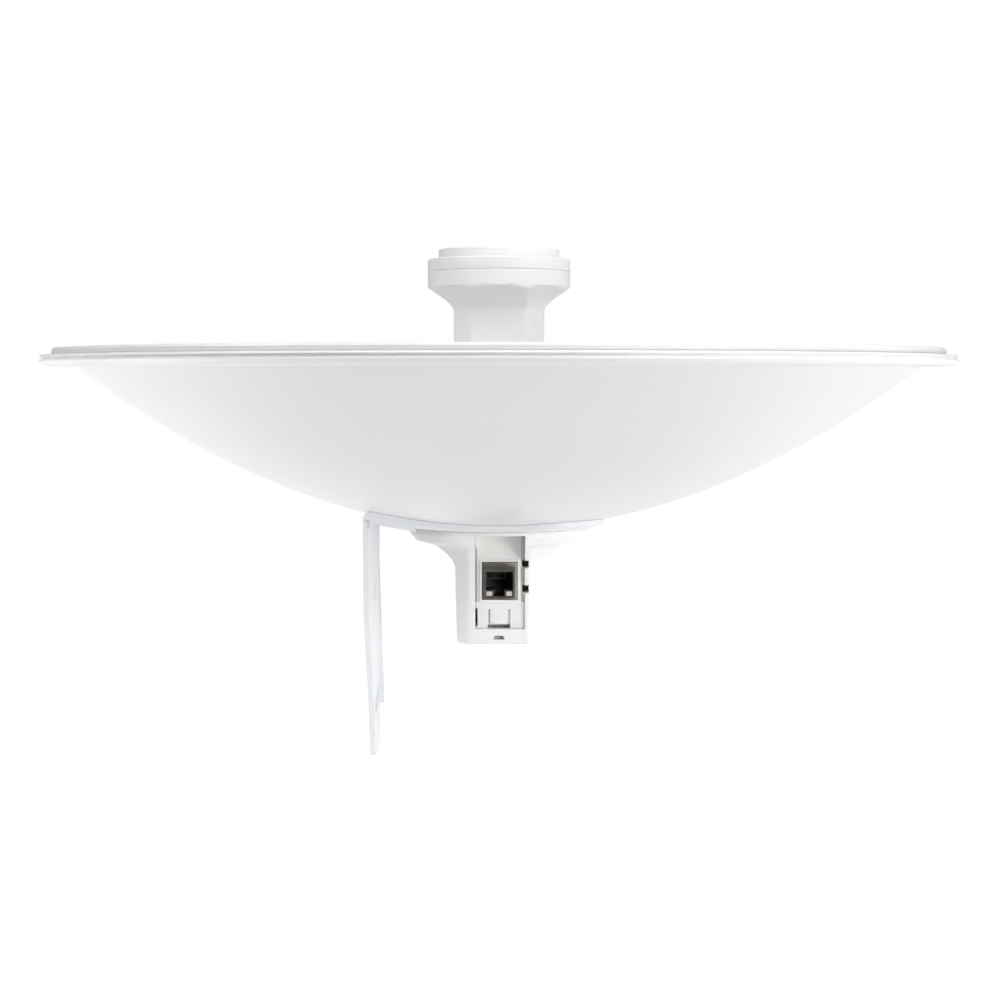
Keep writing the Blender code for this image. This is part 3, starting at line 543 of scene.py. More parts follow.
DISH_PAINT = material("dish_paint", (0.72, 0.726, 0.737), 0.38, grain=900.0, bump=0.10, mottle=0.008,
                      specular=0.8)
BRACKET_PAINT = material("bracket_paint", (0.82, 0.835, 0.855), 0.42, grain=900.0, bump=0.10, mottle=0.012,
                         round_edge=0.35 * MM)
# The feed's plastic is set greyer than the housing's: partly the feed's own greyer white, partly painted
# shade for the lesser light that reaches the feed inside the bowl.
FEED_PLASTIC_WITH_PAINTED_SHADE = material("feed_plastic", (0.81, 0.81, 0.80), 0.46, grain=3000.0, bump=0.06, mottle=0.01)
HOUSING_PLASTIC = material("housing_plastic", (0.88, 0.88, 0.87), 0.46, grain=3000.0, bump=0.06, mottle=0.01,
                           round_edge=0.4 * MM)
TRAY_PLASTIC = material("tray_plastic", (0.85, 0.845, 0.83), 0.5, grain=3000.0, bump=0.06, mottle=0.012)
SHELL_METAL = material("shell_metal", (0.27, 0.25, 0.23), 0.42, metallic=1.0, grain=1500.0, bump=0.08,
                       mottle=0.05)
INSERT_PLASTIC = material("insert_plastic", (0.018, 0.018, 0.019), 0.42, grain=3500.0, bump=0.06, mottle=0.1)
# The contact metal is a dull dark grey in place of gold plating: painted shade for the dark inside the plug
# space.
CONTACT_METAL_PAINTED_SHADE = material("contact_metal", (0.34, 0.31, 0.28), 0.35, metallic=1.0, grain=2500.0, bump=0.03)
LIGHT_PLASTIC = material("light_plastic", (0.66, 0.62, 0.58), 0.12, grain=2000.0, bump=0.02, coat=0.5)
BOARD = material("board_laminate", (0.045, 0.16, 0.085), 0.4, grain=1400.0, bump=0.1, mottle=0.15)
RUBBER = material("seal_rubber", (0.03, 0.03, 0.03), 0.8, grain=1800.0, bump=0.2, mottle=0.1)
SCREW_STEEL = material("screw_steel", (0.66, 0.66, 0.67), 0.26, metallic=1.0, grain=2500.0, bump=0.05,
                       mottle=0.04)


def finish_piece(item, surface, slot, *nodes):
    """Give a piece its material, its body and the solids that it stands for; the slot argument is not used.
    """
    item.data.materials.clear()
    item.data.materials.append(surface)
    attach(item, "root")
    if nodes:
        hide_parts(*nodes)


# Dish

def dish_back_z(radius):
    """Height of the dish's back: a flat hub, then a paraboloid."""
    return max(0.0, DISH_CURVE * radius * radius - DISH_VERTEX_DROP)


def dish_radius_at(height):
    """Radius at which the back of the paraboloid reaches a height."""
    return math.sqrt((height + DISH_VERTEX_DROP) / DISH_CURVE)


def dish_outline():
    """Closed section of the dish: back outward, over the rolled rim, front inward."""
    hub = dish_radius_at(0.0)
    wall = dish_radius_at(SHELF_Z)
    back = []
    front = []
    for radius in spread(hub, wall - 0.8 * MM, 61):
        slope = 2.0 * DISH_CURVE * radius
        length = math.hypot(1.0, slope)
        height = dish_back_z(radius)
        back.append((radius, height))
        front.append((radius - DISH_THICKNESS * slope / length, height + DISH_THICKNESS / length))
    inside = LIP_RADIUS - LIP_THICKNESS
    shelf_top = SHELF_Z + DISH_THICKNESS
    rim = rounded([
        (*back[-1], 0.0),
        (wall, SHELF_Z, 1.2 * MM),
        (SHELF_RADIUS, SHELF_Z + 0.3 * MM, 0.8 * MM),
        (RIM_RADIUS - 1.5 * MM, ROLL_LOW_Z, 1.4 * MM),
        (RIM_RADIUS, ROLL_WIDEST_Z, 1.3 * MM),
        (RIM_RADIUS - 0.1 * MM, RIM_GROOVE_LOW_Z, 0.25 * MM),
        (RIM_RADIUS - RIM_GROOVE_DEPTH, RIM_GROOVE_LOW_Z + 0.6 * MM, 0.4 * MM),
        (RIM_RADIUS - RIM_GROOVE_DEPTH, RIM_GROOVE_TOP_Z - 0.25 * MM, 0.3 * MM),
        (RIM_RADIUS, RIM_GROOVE_TOP_Z, 0.12 * MM),
        (RIM_RADIUS - 0.75 * MM, BEAD_TOP_Z, 0.3 * MM),
        (LIP_RADIUS + RIM_CREASE, BEAD_TOP_Z, 0.2 * MM),
        (LIP_RADIUS - RIM_CREASE, BEAD_TOP_Z - 0.1 * MM, 0.1 * MM),
        (LIP_RADIUS - RIM_CREASE, BEAD_TOP_Z + 0.3 * MM, 0.1 * MM),
        (LIP_RADIUS, BEAD_TOP_Z + 0.5 * MM, 0.15 * MM),
        (LIP_RADIUS, LIP_TOP_Z - 1.2 * MM, 0.12 * MM),
        (LIP_RADIUS - 0.7 * MM, LIP_TOP_Z - LIP_CREST_DROP, 0.3 * MM),
        (inside, LIP_TOP_Z - LIP_CREST_DROP, 0.9 * MM),
        (inside, shelf_top, 1.2 * MM),
        (wall - 0.4 * MM, shelf_top, 0.8 * MM),
        (*front[-1], 0.0),
    ], steps=7, closed=False)
    hole_edge = HUB_HOLE_RADIUS + HUB_HOLE_BREAK
    floor = [(hole_edge, DISH_THICKNESS), (HUB_HOLE_RADIUS, DISH_THICKNESS - HUB_HOLE_BREAK),
             (HUB_HOLE_RADIUS, HUB_HOLE_BREAK), (hole_edge, 0.0)]
    return back[1:-1] + rim + front[::-1][1:] + floor + [back[0]]


def screw_places():
    """Plan places of the hub screws."""
    return arc_points((0.0, 0.0), SCREW_CIRCLE, 45.0, 315.0, SCREW_COUNT - 1)


def screw_holes():
    """Cutters for the clearance holes of the hub screws."""
    shape = bmesh.new()
    low = SCREW_END_Z - 0.5 * MM
    outline = [(0.0, low), (SCREW_HOLE_RADIUS, low), (SCREW_HOLE_RADIUS, HUB_CUTTER_REACH),
               (0.0, HUB_CUTTER_REACH)]
    for place in screw_places():
        turned(outline, SCREW_HOLE_SEGMENTS, wrap=False, center=place, shape=shape)
    return shape


def build_dish():
    """Pressed dish with its rolled, stepped rim."""
    dish = link("dish_reflector", turned(dish_outline(), DISH_SEGMENTS), smooth_deg=32.0)
    cut(dish, [screw_holes()])
    finish_piece(dish, DISH_PAINT, "dish_paint", "reflector_dish")


# Hub stack inside the bowl

def build_hub_stack():
    """Seal, feed collar, screws and washers on the hub."""
    low = DISH_THICKNESS + GAP
    seal_high = low + SEAL_THICKNESS
    outline = rounded([
        (SEAL_INNER_RADIUS, low, 0.2 * MM), (SEAL_OUTER_RADIUS, low, 0.2 * MM),
        (SEAL_OUTER_RADIUS, seal_high, 0.2 * MM), (SEAL_INNER_RADIUS, seal_high, 0.2 * MM)], 3)
    seal = link("foam_seal", turned(outline, HUB_SEGMENTS))
    cut(seal, [screw_holes()])
    finish_piece(seal, RUBBER, "seal_rubber", "hub_seal")

    grow = 1.5 * GAP
    corner_grow = grow * math.tan(math.pi / 8.0)
    levels = []
    for radius, height in rounded([
            (COLLAR_RADIUS - 2.0 * MM, COLLAR_LOW_Z, 0.0), (COLLAR_RADIUS, COLLAR_LOW_Z, 0.4 * MM),
            (COLLAR_RADIUS, COLLAR_LOW_Z + 2.6 * MM, 0.4 * MM),
            (COLLAR_RADIUS - 1.2 * MM, COLLAR_TOP_Z, 1.2 * MM),
            (COLLAR_RADIUS - 4.0 * MM, COLLAR_TOP_Z, 0.0)], 5, closed=False):
        levels.append(section_loop(2.0 * COLLAR_RADIUS, NECK_FLAT_HALF_WIDTH, radius, height))
    for wider, height in ((1.2 * MM, COLLAR_TOP_Z), (grow, COLLAR_TOP_Z - 0.8 * MM), (grow, COLLAR_LOW_Z)):
        levels.append(section_loop(NECK_FLAT + wider, NECK_FLAT_HALF_WIDTH + corner_grow, COLLAR_RADIUS,
                                   height))
    collar = link("collar_ring", stacked(levels, closed_ends=False))
    cut(collar, [screw_holes()])
    finish_piece(collar, FEED_PLASTIC_WITH_PAINTED_SHADE, "collar_plastic", "feed_collar")

    for number, place in enumerate(screw_places(), start=1):
        build_screw(number, place)


def screw_outline():
    """Half section of a pan-head screw: point, thread rings, shank and domed head."""
    top = SCREW_HEAD_Z + SCREW_HEAD_HEIGHT
    outline = [(0.0, SCREW_END_Z), (SCREW_RADIUS - 0.5 * MM, SCREW_END_Z),
               (SCREW_RADIUS, SCREW_END_Z + 0.5 * MM)]
    thread_top = SCREW_HEAD_Z - SHANK_LENGTH
    for height in spread(SCREW_END_Z + 0.6 * MM, thread_top, THREAD_TURNS * 2 + 1)[1:]:
        deep = len(outline) % 2 == 0
        outline.append((SCREW_RADIUS - (THREAD_DEPTH if deep else 0.0), height))
    return outline + rounded([
        (SCREW_RADIUS, SCREW_HEAD_Z - 0.5 * MM, 0.0), (SCREW_RADIUS, SCREW_HEAD_Z, 0.0),
        (SCREW_HEAD_RADIUS, SCREW_HEAD_Z, 0.2 * MM), (SCREW_HEAD_RADIUS, top, 1.3 * MM), (0.0, top, 0.0)],
        5, closed=False)


def recess_arm(place, turn):
    """Cutter for one tapered arm of a cross recess in a screw's head."""
    top = SCREW_HEAD_Z + SCREW_HEAD_HEIGHT
    arm = bmesh.new()
    along = Vector((math.cos(turn), math.sin(turn), 0.0))
    across = Vector((-along.y, along.x, 0.0))
    loops = []
    for height, (length, width) in ((top - RECESS_DEPTH, RECESS_FLOOR), (top + 0.2 * MM, RECESS_MOUTH)):
        middle = Vector((place[0], place[1], height))
        loops.append([arm.verts.new(middle + along * a * length + across * b * width)
                      for a, b in ((-1, -1), (1, -1), (1, 1), (-1, 1))])
    skin(arm, loops, wrap=False)
    arm.faces.new(loops[0])
    arm.faces.new(loops[1])
    return arm


def build_screw(number, place):
    """Pan-head cross-recess screw with its washer."""
    shape = turned(screw_outline(), SCREW_SEGMENTS, wrap=False, center=place)
    screw = link("screw_%d" % number, shape)
    cut(screw, [recess_arm(place, turn + RECESS_TURN * number) for turn in (0.0, math.pi / 2.0)])
    finish_piece(screw, SCREW_STEEL, "screw_steel", "hub_screw_%d" % number)

    high = WASHER_LOW_Z + WASHER_THICKNESS
    outline = rounded([
        (SCREW_HOLE_RADIUS, WASHER_LOW_Z, 0.15 * MM), (WASHER_RADIUS, WASHER_LOW_Z, 0.15 * MM),
        (WASHER_RADIUS, high, 0.25 * MM), (SCREW_HOLE_RADIUS, high, 0.15 * MM)], 3)
    washer = link("washer_%d" % number, turned(outline, WASHER_SEGMENTS, center=place))
    finish_piece(washer, SCREW_STEEL, "screw_steel", "hub_washer_%d" % number)


# Feed

def build_feed():
    """Neck that flares into the lower half of the round head, upper half and cap."""
    height = NECK_FLARE_END_Z - NECK_FLARE_Z
    whole = 2.0 * HEAD_RADIUS
    levels = []
    for z in spread(NECK_LOW_Z, NECK_FLARE_Z, 12)[:-1]:
        levels.append(section_loop(NECK_FLAT, NECK_FLAT_HALF_WIDTH, HEAD_RADIUS, z))
    for fraction in spread(0.0, 1.0, 40):
        flat = NECK_FLAT + NECK_FLARE_REACH * fraction ** NECK_FLARE_POWER
        levels.append(section_loop(flat, NECK_FLAT_HALF_WIDTH, HEAD_RADIUS, NECK_FLARE_Z + height * fraction))
    for z in spread(NECK_FLARE_END_Z + 0.2 * MM, HEAD_SEAM_Z - HEAD_SEAM_ROUND, 6):
        levels.append(section_loop(whole, NECK_FLAT_HALF_WIDTH, HEAD_RADIUS, z))
    for angle in spread(0.0, math.pi / 2.0, 6)[1:]:
        radius = HEAD_RADIUS - HEAD_SEAM_ROUND * (1.0 - math.cos(angle))
        z = HEAD_SEAM_Z - HEAD_SEAM_ROUND * (1.0 - math.sin(angle))
        levels.append(section_loop(whole, NECK_FLAT_HALF_WIDTH, radius, z))
    neck = link("feed_horn", stacked(levels), smooth_deg=50.0)
    finish_piece(neck, FEED_PLASTIC_WITH_PAINTED_SHADE, "feed_plastic", "feed_neck")

    low = HEAD_SEAM_Z + 0.02 * MM
    recess = HEAD_TOP_Z - 0.5 * MM
    cover = rounded([
        (0.0, low, 0.0), (HEAD_RADIUS, low, HEAD_SEAM_ROUND), (HEAD_RADIUS, HEAD_TOP_Z, 0.6 * MM),
        (CAP_RADIUS + 0.7 * MM, HEAD_TOP_Z, 0.25 * MM), (CAP_RADIUS + 0.4 * MM, recess, 0.15 * MM),
        (CAP_RADIUS - 1.0 * MM, recess, 0.0), (0.0, recess, 0.0)], 6, closed=False)
    finish_piece(link("head_cover", turned(cover, FEED_SEGMENTS, wrap=False)), FEED_PLASTIC_WITH_PAINTED_SHADE, "cover_plastic",
                 "feed_head_cover")

    low = HEAD_TOP_Z - 0.3 * MM
    cap = rounded([(0.0, low, 0.0), (CAP_RADIUS, low, 0.3 * MM), (CAP_RADIUS, CAP_TOP_Z - 0.2 * MM, 0.7 * MM),
                   (CAP_RADIUS - 4.0 * MM, CAP_TOP_Z, 2.0 * MM), (0.0, CAP_TOP_Z, 0.0)], 6, closed=False)
    finish_piece(link("head_cap", turned(cap, FEED_SEGMENTS, wrap=False)), FEED_PLASTIC_WITH_PAINTED_SHADE, "cap_plastic",
                 "feed_cap")


# Bracket

def under_dish(drop, low_z):
    """Everything lower than a surface that follows the dish's back at a given drop."""
    surface = [(0.0, -drop)]
    for radius in spread(dish_radius_at(0.0), TRIM_REACH, 31):
        surface.append((radius, dish_back_z(radius) - drop))
    return turned([(0.0, low_z), (TRIM_REACH, low_z)] + surface[::-1], TRIM_SEGMENTS, wrap=False)


def plate_outline():
    """Plan of the base plate: wide at the flange, round corners at the free end."""
    left = -AXIS_TO_BRACKET_FACE
    return rounded([
        (left, FLANGE_FAR_Y, 0.0), (left, FLANGE_NEAR_Y, 0.0), (FRONT_LIP_RIGHT_X, FLANGE_NEAR_Y, 3.0 * MM),
        (PLATE_SHOULDER_X, PLATE_NEAR_Y, PLATE_SHOULDER_ROUND), (PLATE_RIGHT_X, PLATE_NEAR_Y, PLATE_CORNER),
        (PLATE_RIGHT_X, -PLATE_NEAR_Y, PLATE_CORNER),
        (PLATE_SHOULDER_X, -PLATE_NEAR_Y, PLATE_SHOULDER_ROUND)], 12)


def flange_outline(top_z):
    """Side view of the flange: its near edge slants back in two steps to a rounded end."""
    return rounded([
        (FLANGE_FAR_Y, top_z, 0.0), (FLANGE_NEAR_Y, top_z, 0.0), (FLANGE_NEAR_Y, -41.0 * MM, 14.0 * MM),
        (-21.5 * MM, -76.0 * MM, 20.0 * MM), (-7.0 * MM, -104.6 * MM, 10.0 * MM),
        (-6.5 * MM, FLANGE_END_Z, 7.5 * MM), (FLANGE_FAR_Y, FLANGE_END_Z, 7.0 * MM)], 10)


def slot_outline():
    """Curved slot about the pivot hole, with round ends."""
    pivot = (PIVOT_Y, PIVOT_Z)
    start = -90.0 + SLOT_START_DEG
    end = -90.0 + SLOT_END_DEG
    outer = arc_points(pivot, SLOT_RADIUS + SLOT_HALF_WIDTH, start, end, 16)
    inner = arc_points(pivot, SLOT_RADIUS - SLOT_HALF_WIDTH, end, start, 16)
    far = arc_points(pivot, SLOT_RADIUS, end, end, 1)[0]
    near = arc_points(pivot, SLOT_RADIUS, start, start, 1)[0]
    far_end = arc_points(far, SLOT_HALF_WIDTH, end, end + 180.0, 14)[1:-1]
    near_end = arc_points(near, SLOT_HALF_WIDTH, start + 180.0, start + 360.0, 14)[1:-1]
    return outer + far_end + inner + near_end


def bend_rounding():
    """Cutter that rounds the outside of the bend, station by station along it."""
    left = -AXIS_TO_BRACKET_FACE
    middle_x = left + BEND_RADIUS
    past = 4.0 * MM
    outside = left - 3.0 * MM
    levels = []
    for y in spread(FLANGE_NEAR_Y - past, FLANGE_FAR_Y + past, 41):
        radius = math.hypot(middle_x, y)
        slope = 2.0 * DISH_CURVE * middle_x
        line = dish_back_z(radius) - GAP
        length = math.hypot(1.0, slope)
        middle_z = line - BEND_RADIUS * length
        tangent_deg = math.degrees(math.atan2(1.0, -slope))
        arc = arc_points((middle_x, middle_z), BEND_RADIUS, 180.0, tangent_deg, 14)
        over = arc[-1][1] + 9.0 * MM
        beyond = [(arc[-1][0], over), (outside, over), (outside, middle_z)]
        levels.append([(x, y, z) for x, z in arc + beyond])
    return stacked(levels)


def front_lip():
    """Lip that the plate's front edge bends down into, as a bmesh."""
    low = (-AXIS_TO_BRACKET_FACE, FLANGE_NEAR_Y, BLANK_LOW_Z)
    high = (FRONT_LIP_RIGHT_X, FLANGE_NEAR_Y + SHEET, BLANK_TOP_Z)
    lip = link("lip", block(low, high), smooth_deg=None)
    cut(lip, [under_dish(GAP + FRONT_LIP_DEPTH, TRIM_LOW_Z)])
    shape = bmesh.new()
    shape.from_mesh(lip.data)
    bpy.data.objects.remove(lip, do_unlink=True)
    return shape


def build_bracket():
    """L-shaped sheet: a base plate pressed to the dish's back and a side flange with pivot hole and slot."""
    left = -AXIS_TO_BRACKET_FACE
    bracket = link("bracket_sheet", prism(plate_outline(), "Z", BLANK_LOW_Z, BLANK_TOP_Z), smooth_deg=None)
    cut(bracket, [under_dish(GAP + SHEET, TRIM_LOW_Z)])

    flange = prism(flange_outline(BLANK_TOP_Z), "X", left, left + SHEET)
    inner = left + SHEET - 0.1 * MM
    return_outline = [(left, RETURN_LIP_TOP_Z), (inner, RETURN_LIP_TOP_Z),
                      (left + RETURN_LIP_WIDTH, RETURN_LIP_END_Z), (left, RETURN_LIP_END_Z)]
    return_lip = prism(return_outline, "Y", FLANGE_FAR_Y - SHEET, FLANGE_FAR_Y)
    cut(bracket, [front_lip(), flange, return_lip], "UNION")
    cut(bracket, [under_dish(HAIRLINE, FLANGE_END_Z - 18.0 * MM)], "INTERSECT")

    reach = HUB_CUTTER_REACH
    hub_hole = turned([(0.0, -reach), (HUB_HOLE_RADIUS, -reach), (HUB_HOLE_RADIUS, reach), (0.0, reach)],
                      HUB_SEGMENTS, wrap=False)
    relief = block((left + RELIEF_LEFT, FLANGE_NEAR_Y - MM, RELIEF_LOW_Z),
                   (left + RELIEF_RIGHT, FLANGE_NEAR_Y + RELIEF_DEPTH, RELIEF_TOP_Z))
    bore_right = left + 8.0 * MM
    last_deg = 360.0 - 360.0 / PIVOT_HOLE_SEGMENTS
    circle = arc_points((PIVOT_Y, PIVOT_Z), PIVOT_HOLE_RADIUS, 0.0, last_deg, PIVOT_HOLE_SEGMENTS - 1)
    pivot = prism(circle, "X", left - MM, bore_right)
    slot = prism(slot_outline(), "X", left - MM, bore_right)
    cut(bracket, [bend_rounding(), hub_hole, screw_holes(), relief, pivot, slot])
    finish_piece(bracket, BRACKET_PAINT, "bracket_paint", "mount_bracket")


# Rear housing and its port bay

def cone_radius(height):
    """Radius of the foot's shallow conical underside at a height."""
    return CONE_TOP_RADIUS - CONE_SLOPE * (CONE_TOP_Z - height)


def housing_levels():
    """Loops of the rear housing from its round foot down to the rounded end."""
    levels = []
    foot = rounded([
        (FOOT_RADIUS - 5.0 * MM, FOOT_TOP_Z, 0.0), (FOOT_RADIUS, FOOT_TOP_Z, FOOT_ROUND),
        (FOOT_RADIUS, FOOT_EDGE_Z, 1.6 * MM), (CONE_TOP_RADIUS, CONE_TOP_Z, 3.0 * MM),
        (cone_radius(FLARE_TOP_Z + MM), FLARE_TOP_Z + MM, 0.0)], 8, closed=False)
    widest_flat = BODY_FLAT + FLARE_REACH
    for radius, height in foot:
        levels.append(section_loop(widest_flat, BODY_FLAT_HALF_WIDTH, FOOT_RADIUS, height, radius))
    height = FLARE_TOP_Z - FLARE_LOW_Z
    for fraction in spread(1.0, 0.0, 26):
        flat = BODY_FLAT + FLARE_REACH * fraction ** FLARE_POWER
        level = FLARE_LOW_Z + height * fraction
        levels.append(section_loop(flat, BODY_FLAT_HALF_WIDTH, FOOT_RADIUS, level, cone_radius(level)))
    for part in spread(0.0, 1.0, 12)[1:]:
        flat = BODY_FLAT + (BODY_END_FLAT - BODY_FLAT) * part
        level = FLARE_LOW_Z + (BODY_END_Z + END_ROUND - FLARE_LOW_Z) * part
        levels.append(section_loop(flat, BODY_FLAT_HALF_WIDTH, FOOT_RADIUS, level))
    for angle in spread(0.0, math.pi / 2.0, 9)[1:]:
        inset = END_ROUND * (1.0 - math.cos(angle))
        levels.append(section_loop(BODY_END_FLAT - inset, BODY_FLAT_HALF_WIDTH - 0.4 * inset, FOOT_RADIUS,
                                   BODY_END_Z + END_ROUND * (1.0 - math.sin(angle))))
    return levels


def build_housing():
    """Rear housing, open at its port bay."""
    housing = link("radio_housing", stacked(housing_levels()), smooth_deg=45.0)
    bay = block((BAY_LEFT_X, BAY_CUTTER_FRONT_Y, BAY_LOW_Z), (BAY_RIGHT_X, BAY_BACK_Y, BAY_TOP_Z))
    notches = bmesh.new()
    for low_z, high_z in NOTCH_HEIGHTS:
        block((BAY_RIGHT_X - 1.0 * MM, NOTCH_FRONT_Y, low_z), (NOTCH_RIGHT_X, NOTCH_BACK_Y, high_z), notches)
    half = END_SLOT_HALF_WIDTH
    low, high = END_SLOT_Z
    end_slot = prism([(-half, low), (half, low), (0.7 * half, high), (-0.7 * half, high)], "Y",
                     NOTCH_FRONT_Y, END_SLOT_BACK_Y)
    cut(housing, [screw_holes(), bay, notches, end_slot])
    finish_piece(housing, HOUSING_PLASTIC, "housing_plastic", "rear_housing")


def build_tray():
    """Port tray: a face with the jack's raised frame, grooves at its sides and a spring tongue."""
    low = BAY_LOW_Z + HAIRLINE
    high = BAY_TOP_Z - GAP
    left = BAY_LEFT_X + HAIRLINE
    right = BAY_RIGHT_X - HAIRLINE
    beyond = 3.0 * MM
    front = TRAY_FACE_Y - beyond
    groove_back = TRAY_FACE_Y + GROOVE_DEPTH
    tray = link("bay_tray", block((left, TRAY_FACE_Y, low), (right, TRAY_BACK_Y, high)), smooth_deg=None)
    past_back = TRAY_BACK_Y + beyond
    grooves = [
        block((left - beyond, front, FRAME_LOW_Z), (GROOVE_LEFT_X, groove_back, LEFT_GROOVE_TOP_Z)),
        block((GROOVE_RIGHT_X, front, FRAME_LOW_Z), (right + beyond, groove_back, high + beyond)),
        block((left - beyond, front, SIDE_SLOT_Z[0]), (GROOVE_LEFT_X, past_back, SIDE_SLOT_Z[1]))]
    notch_left = GROOVE_RIGHT_X + 0.5 * MM
    for low_z, high_z in NOTCH_HEIGHTS:
        grooves.append(block((notch_left, front, low_z), (right + beyond, NOTCH_BACK_Y, high_z)))
    cut(tray, grooves)
    frame_block = block((FRAME_LEFT_X, TRAY_FACE_Y - FRAME_PROUD, FRAME_LOW_Z),
                        (FRAME_RIGHT_X, TRAY_FACE_Y + TRAY_WALL, FRAME_TOP_Z))
    cut(tray, [frame_block], "UNION")
    inside = block((CAVITY_LEFT_X, TRAY_FACE_Y + TRAY_WALL, FRAME_LOW_Z),
                   (CAVITY_RIGHT_X, past_back, high + beyond))
    window = block((JACK_X - JACK_HALF_WIDTH - GAP, front, JACK_LOW_Z - GAP),
                   (JACK_X + JACK_HALF_WIDTH + GAP, TRAY_FACE_Y + beyond, JACK_TOP_Z + GAP))
    outer = TONGUE_HALF_WIDTH + TONGUE_CUT
    cut_back = TRAY_FACE_Y + TRAY_WALL
    legs = [block((-outer, front, TONGUE_TIP_Z - MM), (-TONGUE_HALF_WIDTH, cut_back, TONGUE_ROOT_Z)),
            block((TONGUE_HALF_WIDTH, front, TONGUE_TIP_Z - MM), (outer, cut_back, TONGUE_ROOT_Z))]
    tip = block((-outer, front, low - beyond), (outer, TRAY_FACE_Y + TIP_CUT_DEPTH, TONGUE_TIP_Z))
    cut(tray, [inside, window] + legs + [tip])
    bevel(tray, 0.2 * MM, 3)
    finish_piece(tray, TRAY_PLASTIC, "tray_plastic", "port_tray")


def plug_opening(margin, depth_y):
    """Plug space with its latch groove."""
    plug = block((PLUG_X - PLUG_HALF_WIDTH - margin, JACK_FACE_Y - MM, PLUG_LOW_Z - margin),
                 (PLUG_X + PLUG_HALF_WIDTH + margin, depth_y, PLUG_TOP_Z + margin))
    latch = block((PLUG_X - LATCH_HALF_WIDTH - margin, JACK_FACE_Y - MM, LATCH_LOW_Z - margin),
                  (PLUG_X + LATCH_HALF_WIDTH + margin, depth_y, PLUG_LOW_Z + MM))
    return [plug, latch]


def light_windows(margin, back_y):
    """The two light windows, as one cutter."""
    shape = bmesh.new()
    front = JACK_FACE_Y - MM
    for side in (-1.0, 1.0):
        ends = sorted((PLUG_X + side * (LIGHT_INNER - margin), PLUG_X + side * (LIGHT_OUTER + margin)))
        block((ends[0], front, LIGHT_LOW_Z - margin), (ends[1], back_y, LIGHT_TOP_Z + margin), shape)
    return shape


def build_jack():
    """Network jack: metal shell, dark insert, sprung contacts and two light windows."""
    left = JACK_X - JACK_HALF_WIDTH
    right = JACK_X + JACK_HALF_WIDTH
    shell = link("port_shell", block((left, JACK_FACE_Y, JACK_LOW_Z), (right, JACK_BACK_Y, JACK_TOP_Z)),
                 smooth_deg=None)
    inside = block((left + JACK_SHEET, JACK_FACE_Y + JACK_SHEET, JACK_LOW_Z + JACK_SHEET),
                   (right - JACK_SHEET, JACK_BACK_Y + MM, JACK_TOP_Z - JACK_SHEET))
    cut(shell, [inside] + plug_opening(GAP, JACK_FACE_Y + MM) + [light_windows(GAP, JACK_FACE_Y + MM)])
    bevel(shell, JACK_EDGE_ROUND, 2)
    finish_piece(shell, SHELL_METAL, "shell_metal", "jack_shell")

    inset = JACK_SHEET + GAP
    low = (left + inset, JACK_FACE_Y + inset, JACK_LOW_Z + inset)
    high = (right - inset, JACK_BACK_Y - GAP, JACK_TOP_Z - inset)
    insert = link("port_insert", block(low, high), smooth_deg=None)
    cut(insert, plug_opening(0.0, PLUG_END_Y) + [light_windows(GAP, LIGHT_BACK_Y + GAP)])
    bevel(insert, JACK_EDGE_ROUND, 2)
    finish_piece(insert, INSERT_PLASTIC, "insert_plastic", "jack_insert")

    for name, node, side in (("status_window_left", "light_window_left", -1.0),
                             ("status_window_right", "light_window_right", 1.0)):
        ends = sorted((PLUG_X + side * LIGHT_INNER, PLUG_X + side * LIGHT_OUTER))
        low = (ends[0], JACK_FACE_Y + GAP, LIGHT_LOW_Z)
        high = (ends[1], LIGHT_BACK_Y, LIGHT_TOP_Z)
        window = link(name, block(low, high), smooth_deg=None)
        bevel(window, 0.25 * MM, 4)
        finish_piece(window, LIGHT_PLASTIC, "light_plastic", node)
    build_contacts()


def contact_wires(front, rear, top):
    """Eight round wires that slant down towards the back, ever more steeply, as one bmesh."""
    bend = 1.0 - CONTACT_FIRST_SLOPE
    wires = bmesh.new()
    for index in range(CONTACT_COUNT):
        x = PLUG_X + (index - (CONTACT_COUNT - 1) / 2.0) * CONTACT_PITCH
        loops = []
        for part in spread(0.0, 1.0, 17):
            y = front + (rear - front) * part
            z = top - CONTACT_RADIUS - CONTACT_DROP * (CONTACT_FIRST_SLOPE * part + bend * part * part)
            tilt = -CONTACT_DROP * (CONTACT_FIRST_SLOPE + 2.0 * bend * part) / (rear - front)
            normal = Vector((0.0, -tilt, 1.0)).normalized()
            loop = []
            for step in range(CONTACT_SEGMENTS):
                angle = 2.0 * math.pi * step / CONTACT_SEGMENTS
                outward = Vector((1.0, 0.0, 0.0)) * math.cos(angle) + normal * math.sin(angle)
                loop.append(wires.verts.new(Vector((x, y, z)) + CONTACT_RADIUS * outward))
            loops.append(loop)
        skin(wires, loops, wrap=False)
        wires.faces.new(loops[0])
        wires.faces.new(loops[-1])
    return wires


def build_contacts():
    """Eight sprung contact wires on a carrier bar at the back of the plug space."""
    half = CONTACT_PITCH * CONTACT_COUNT / 2.0
    bar_front = PLUG_END_Y - GAP - CARRIER_DEPTH
    top = PLUG_TOP_Z - GAP
    carrier = block((PLUG_X - half, bar_front, top - CARRIER_HEIGHT), (PLUG_X + half, PLUG_END_Y - GAP, top))
    contacts = link("port_contacts", carrier, smooth_deg=None)
    bevel(contacts, 0.15 * MM, 2)
    front = JACK_FACE_Y + CONTACT_TIP_INSET + CONTACT_RADIUS
    cut(contacts, [contact_wires(front, bar_front + 0.4 * MM, top)], "UNION")
    finish_piece(contacts, CONTACT_METAL_PAINTED_SHADE, "contact_metal", "jack_contacts")


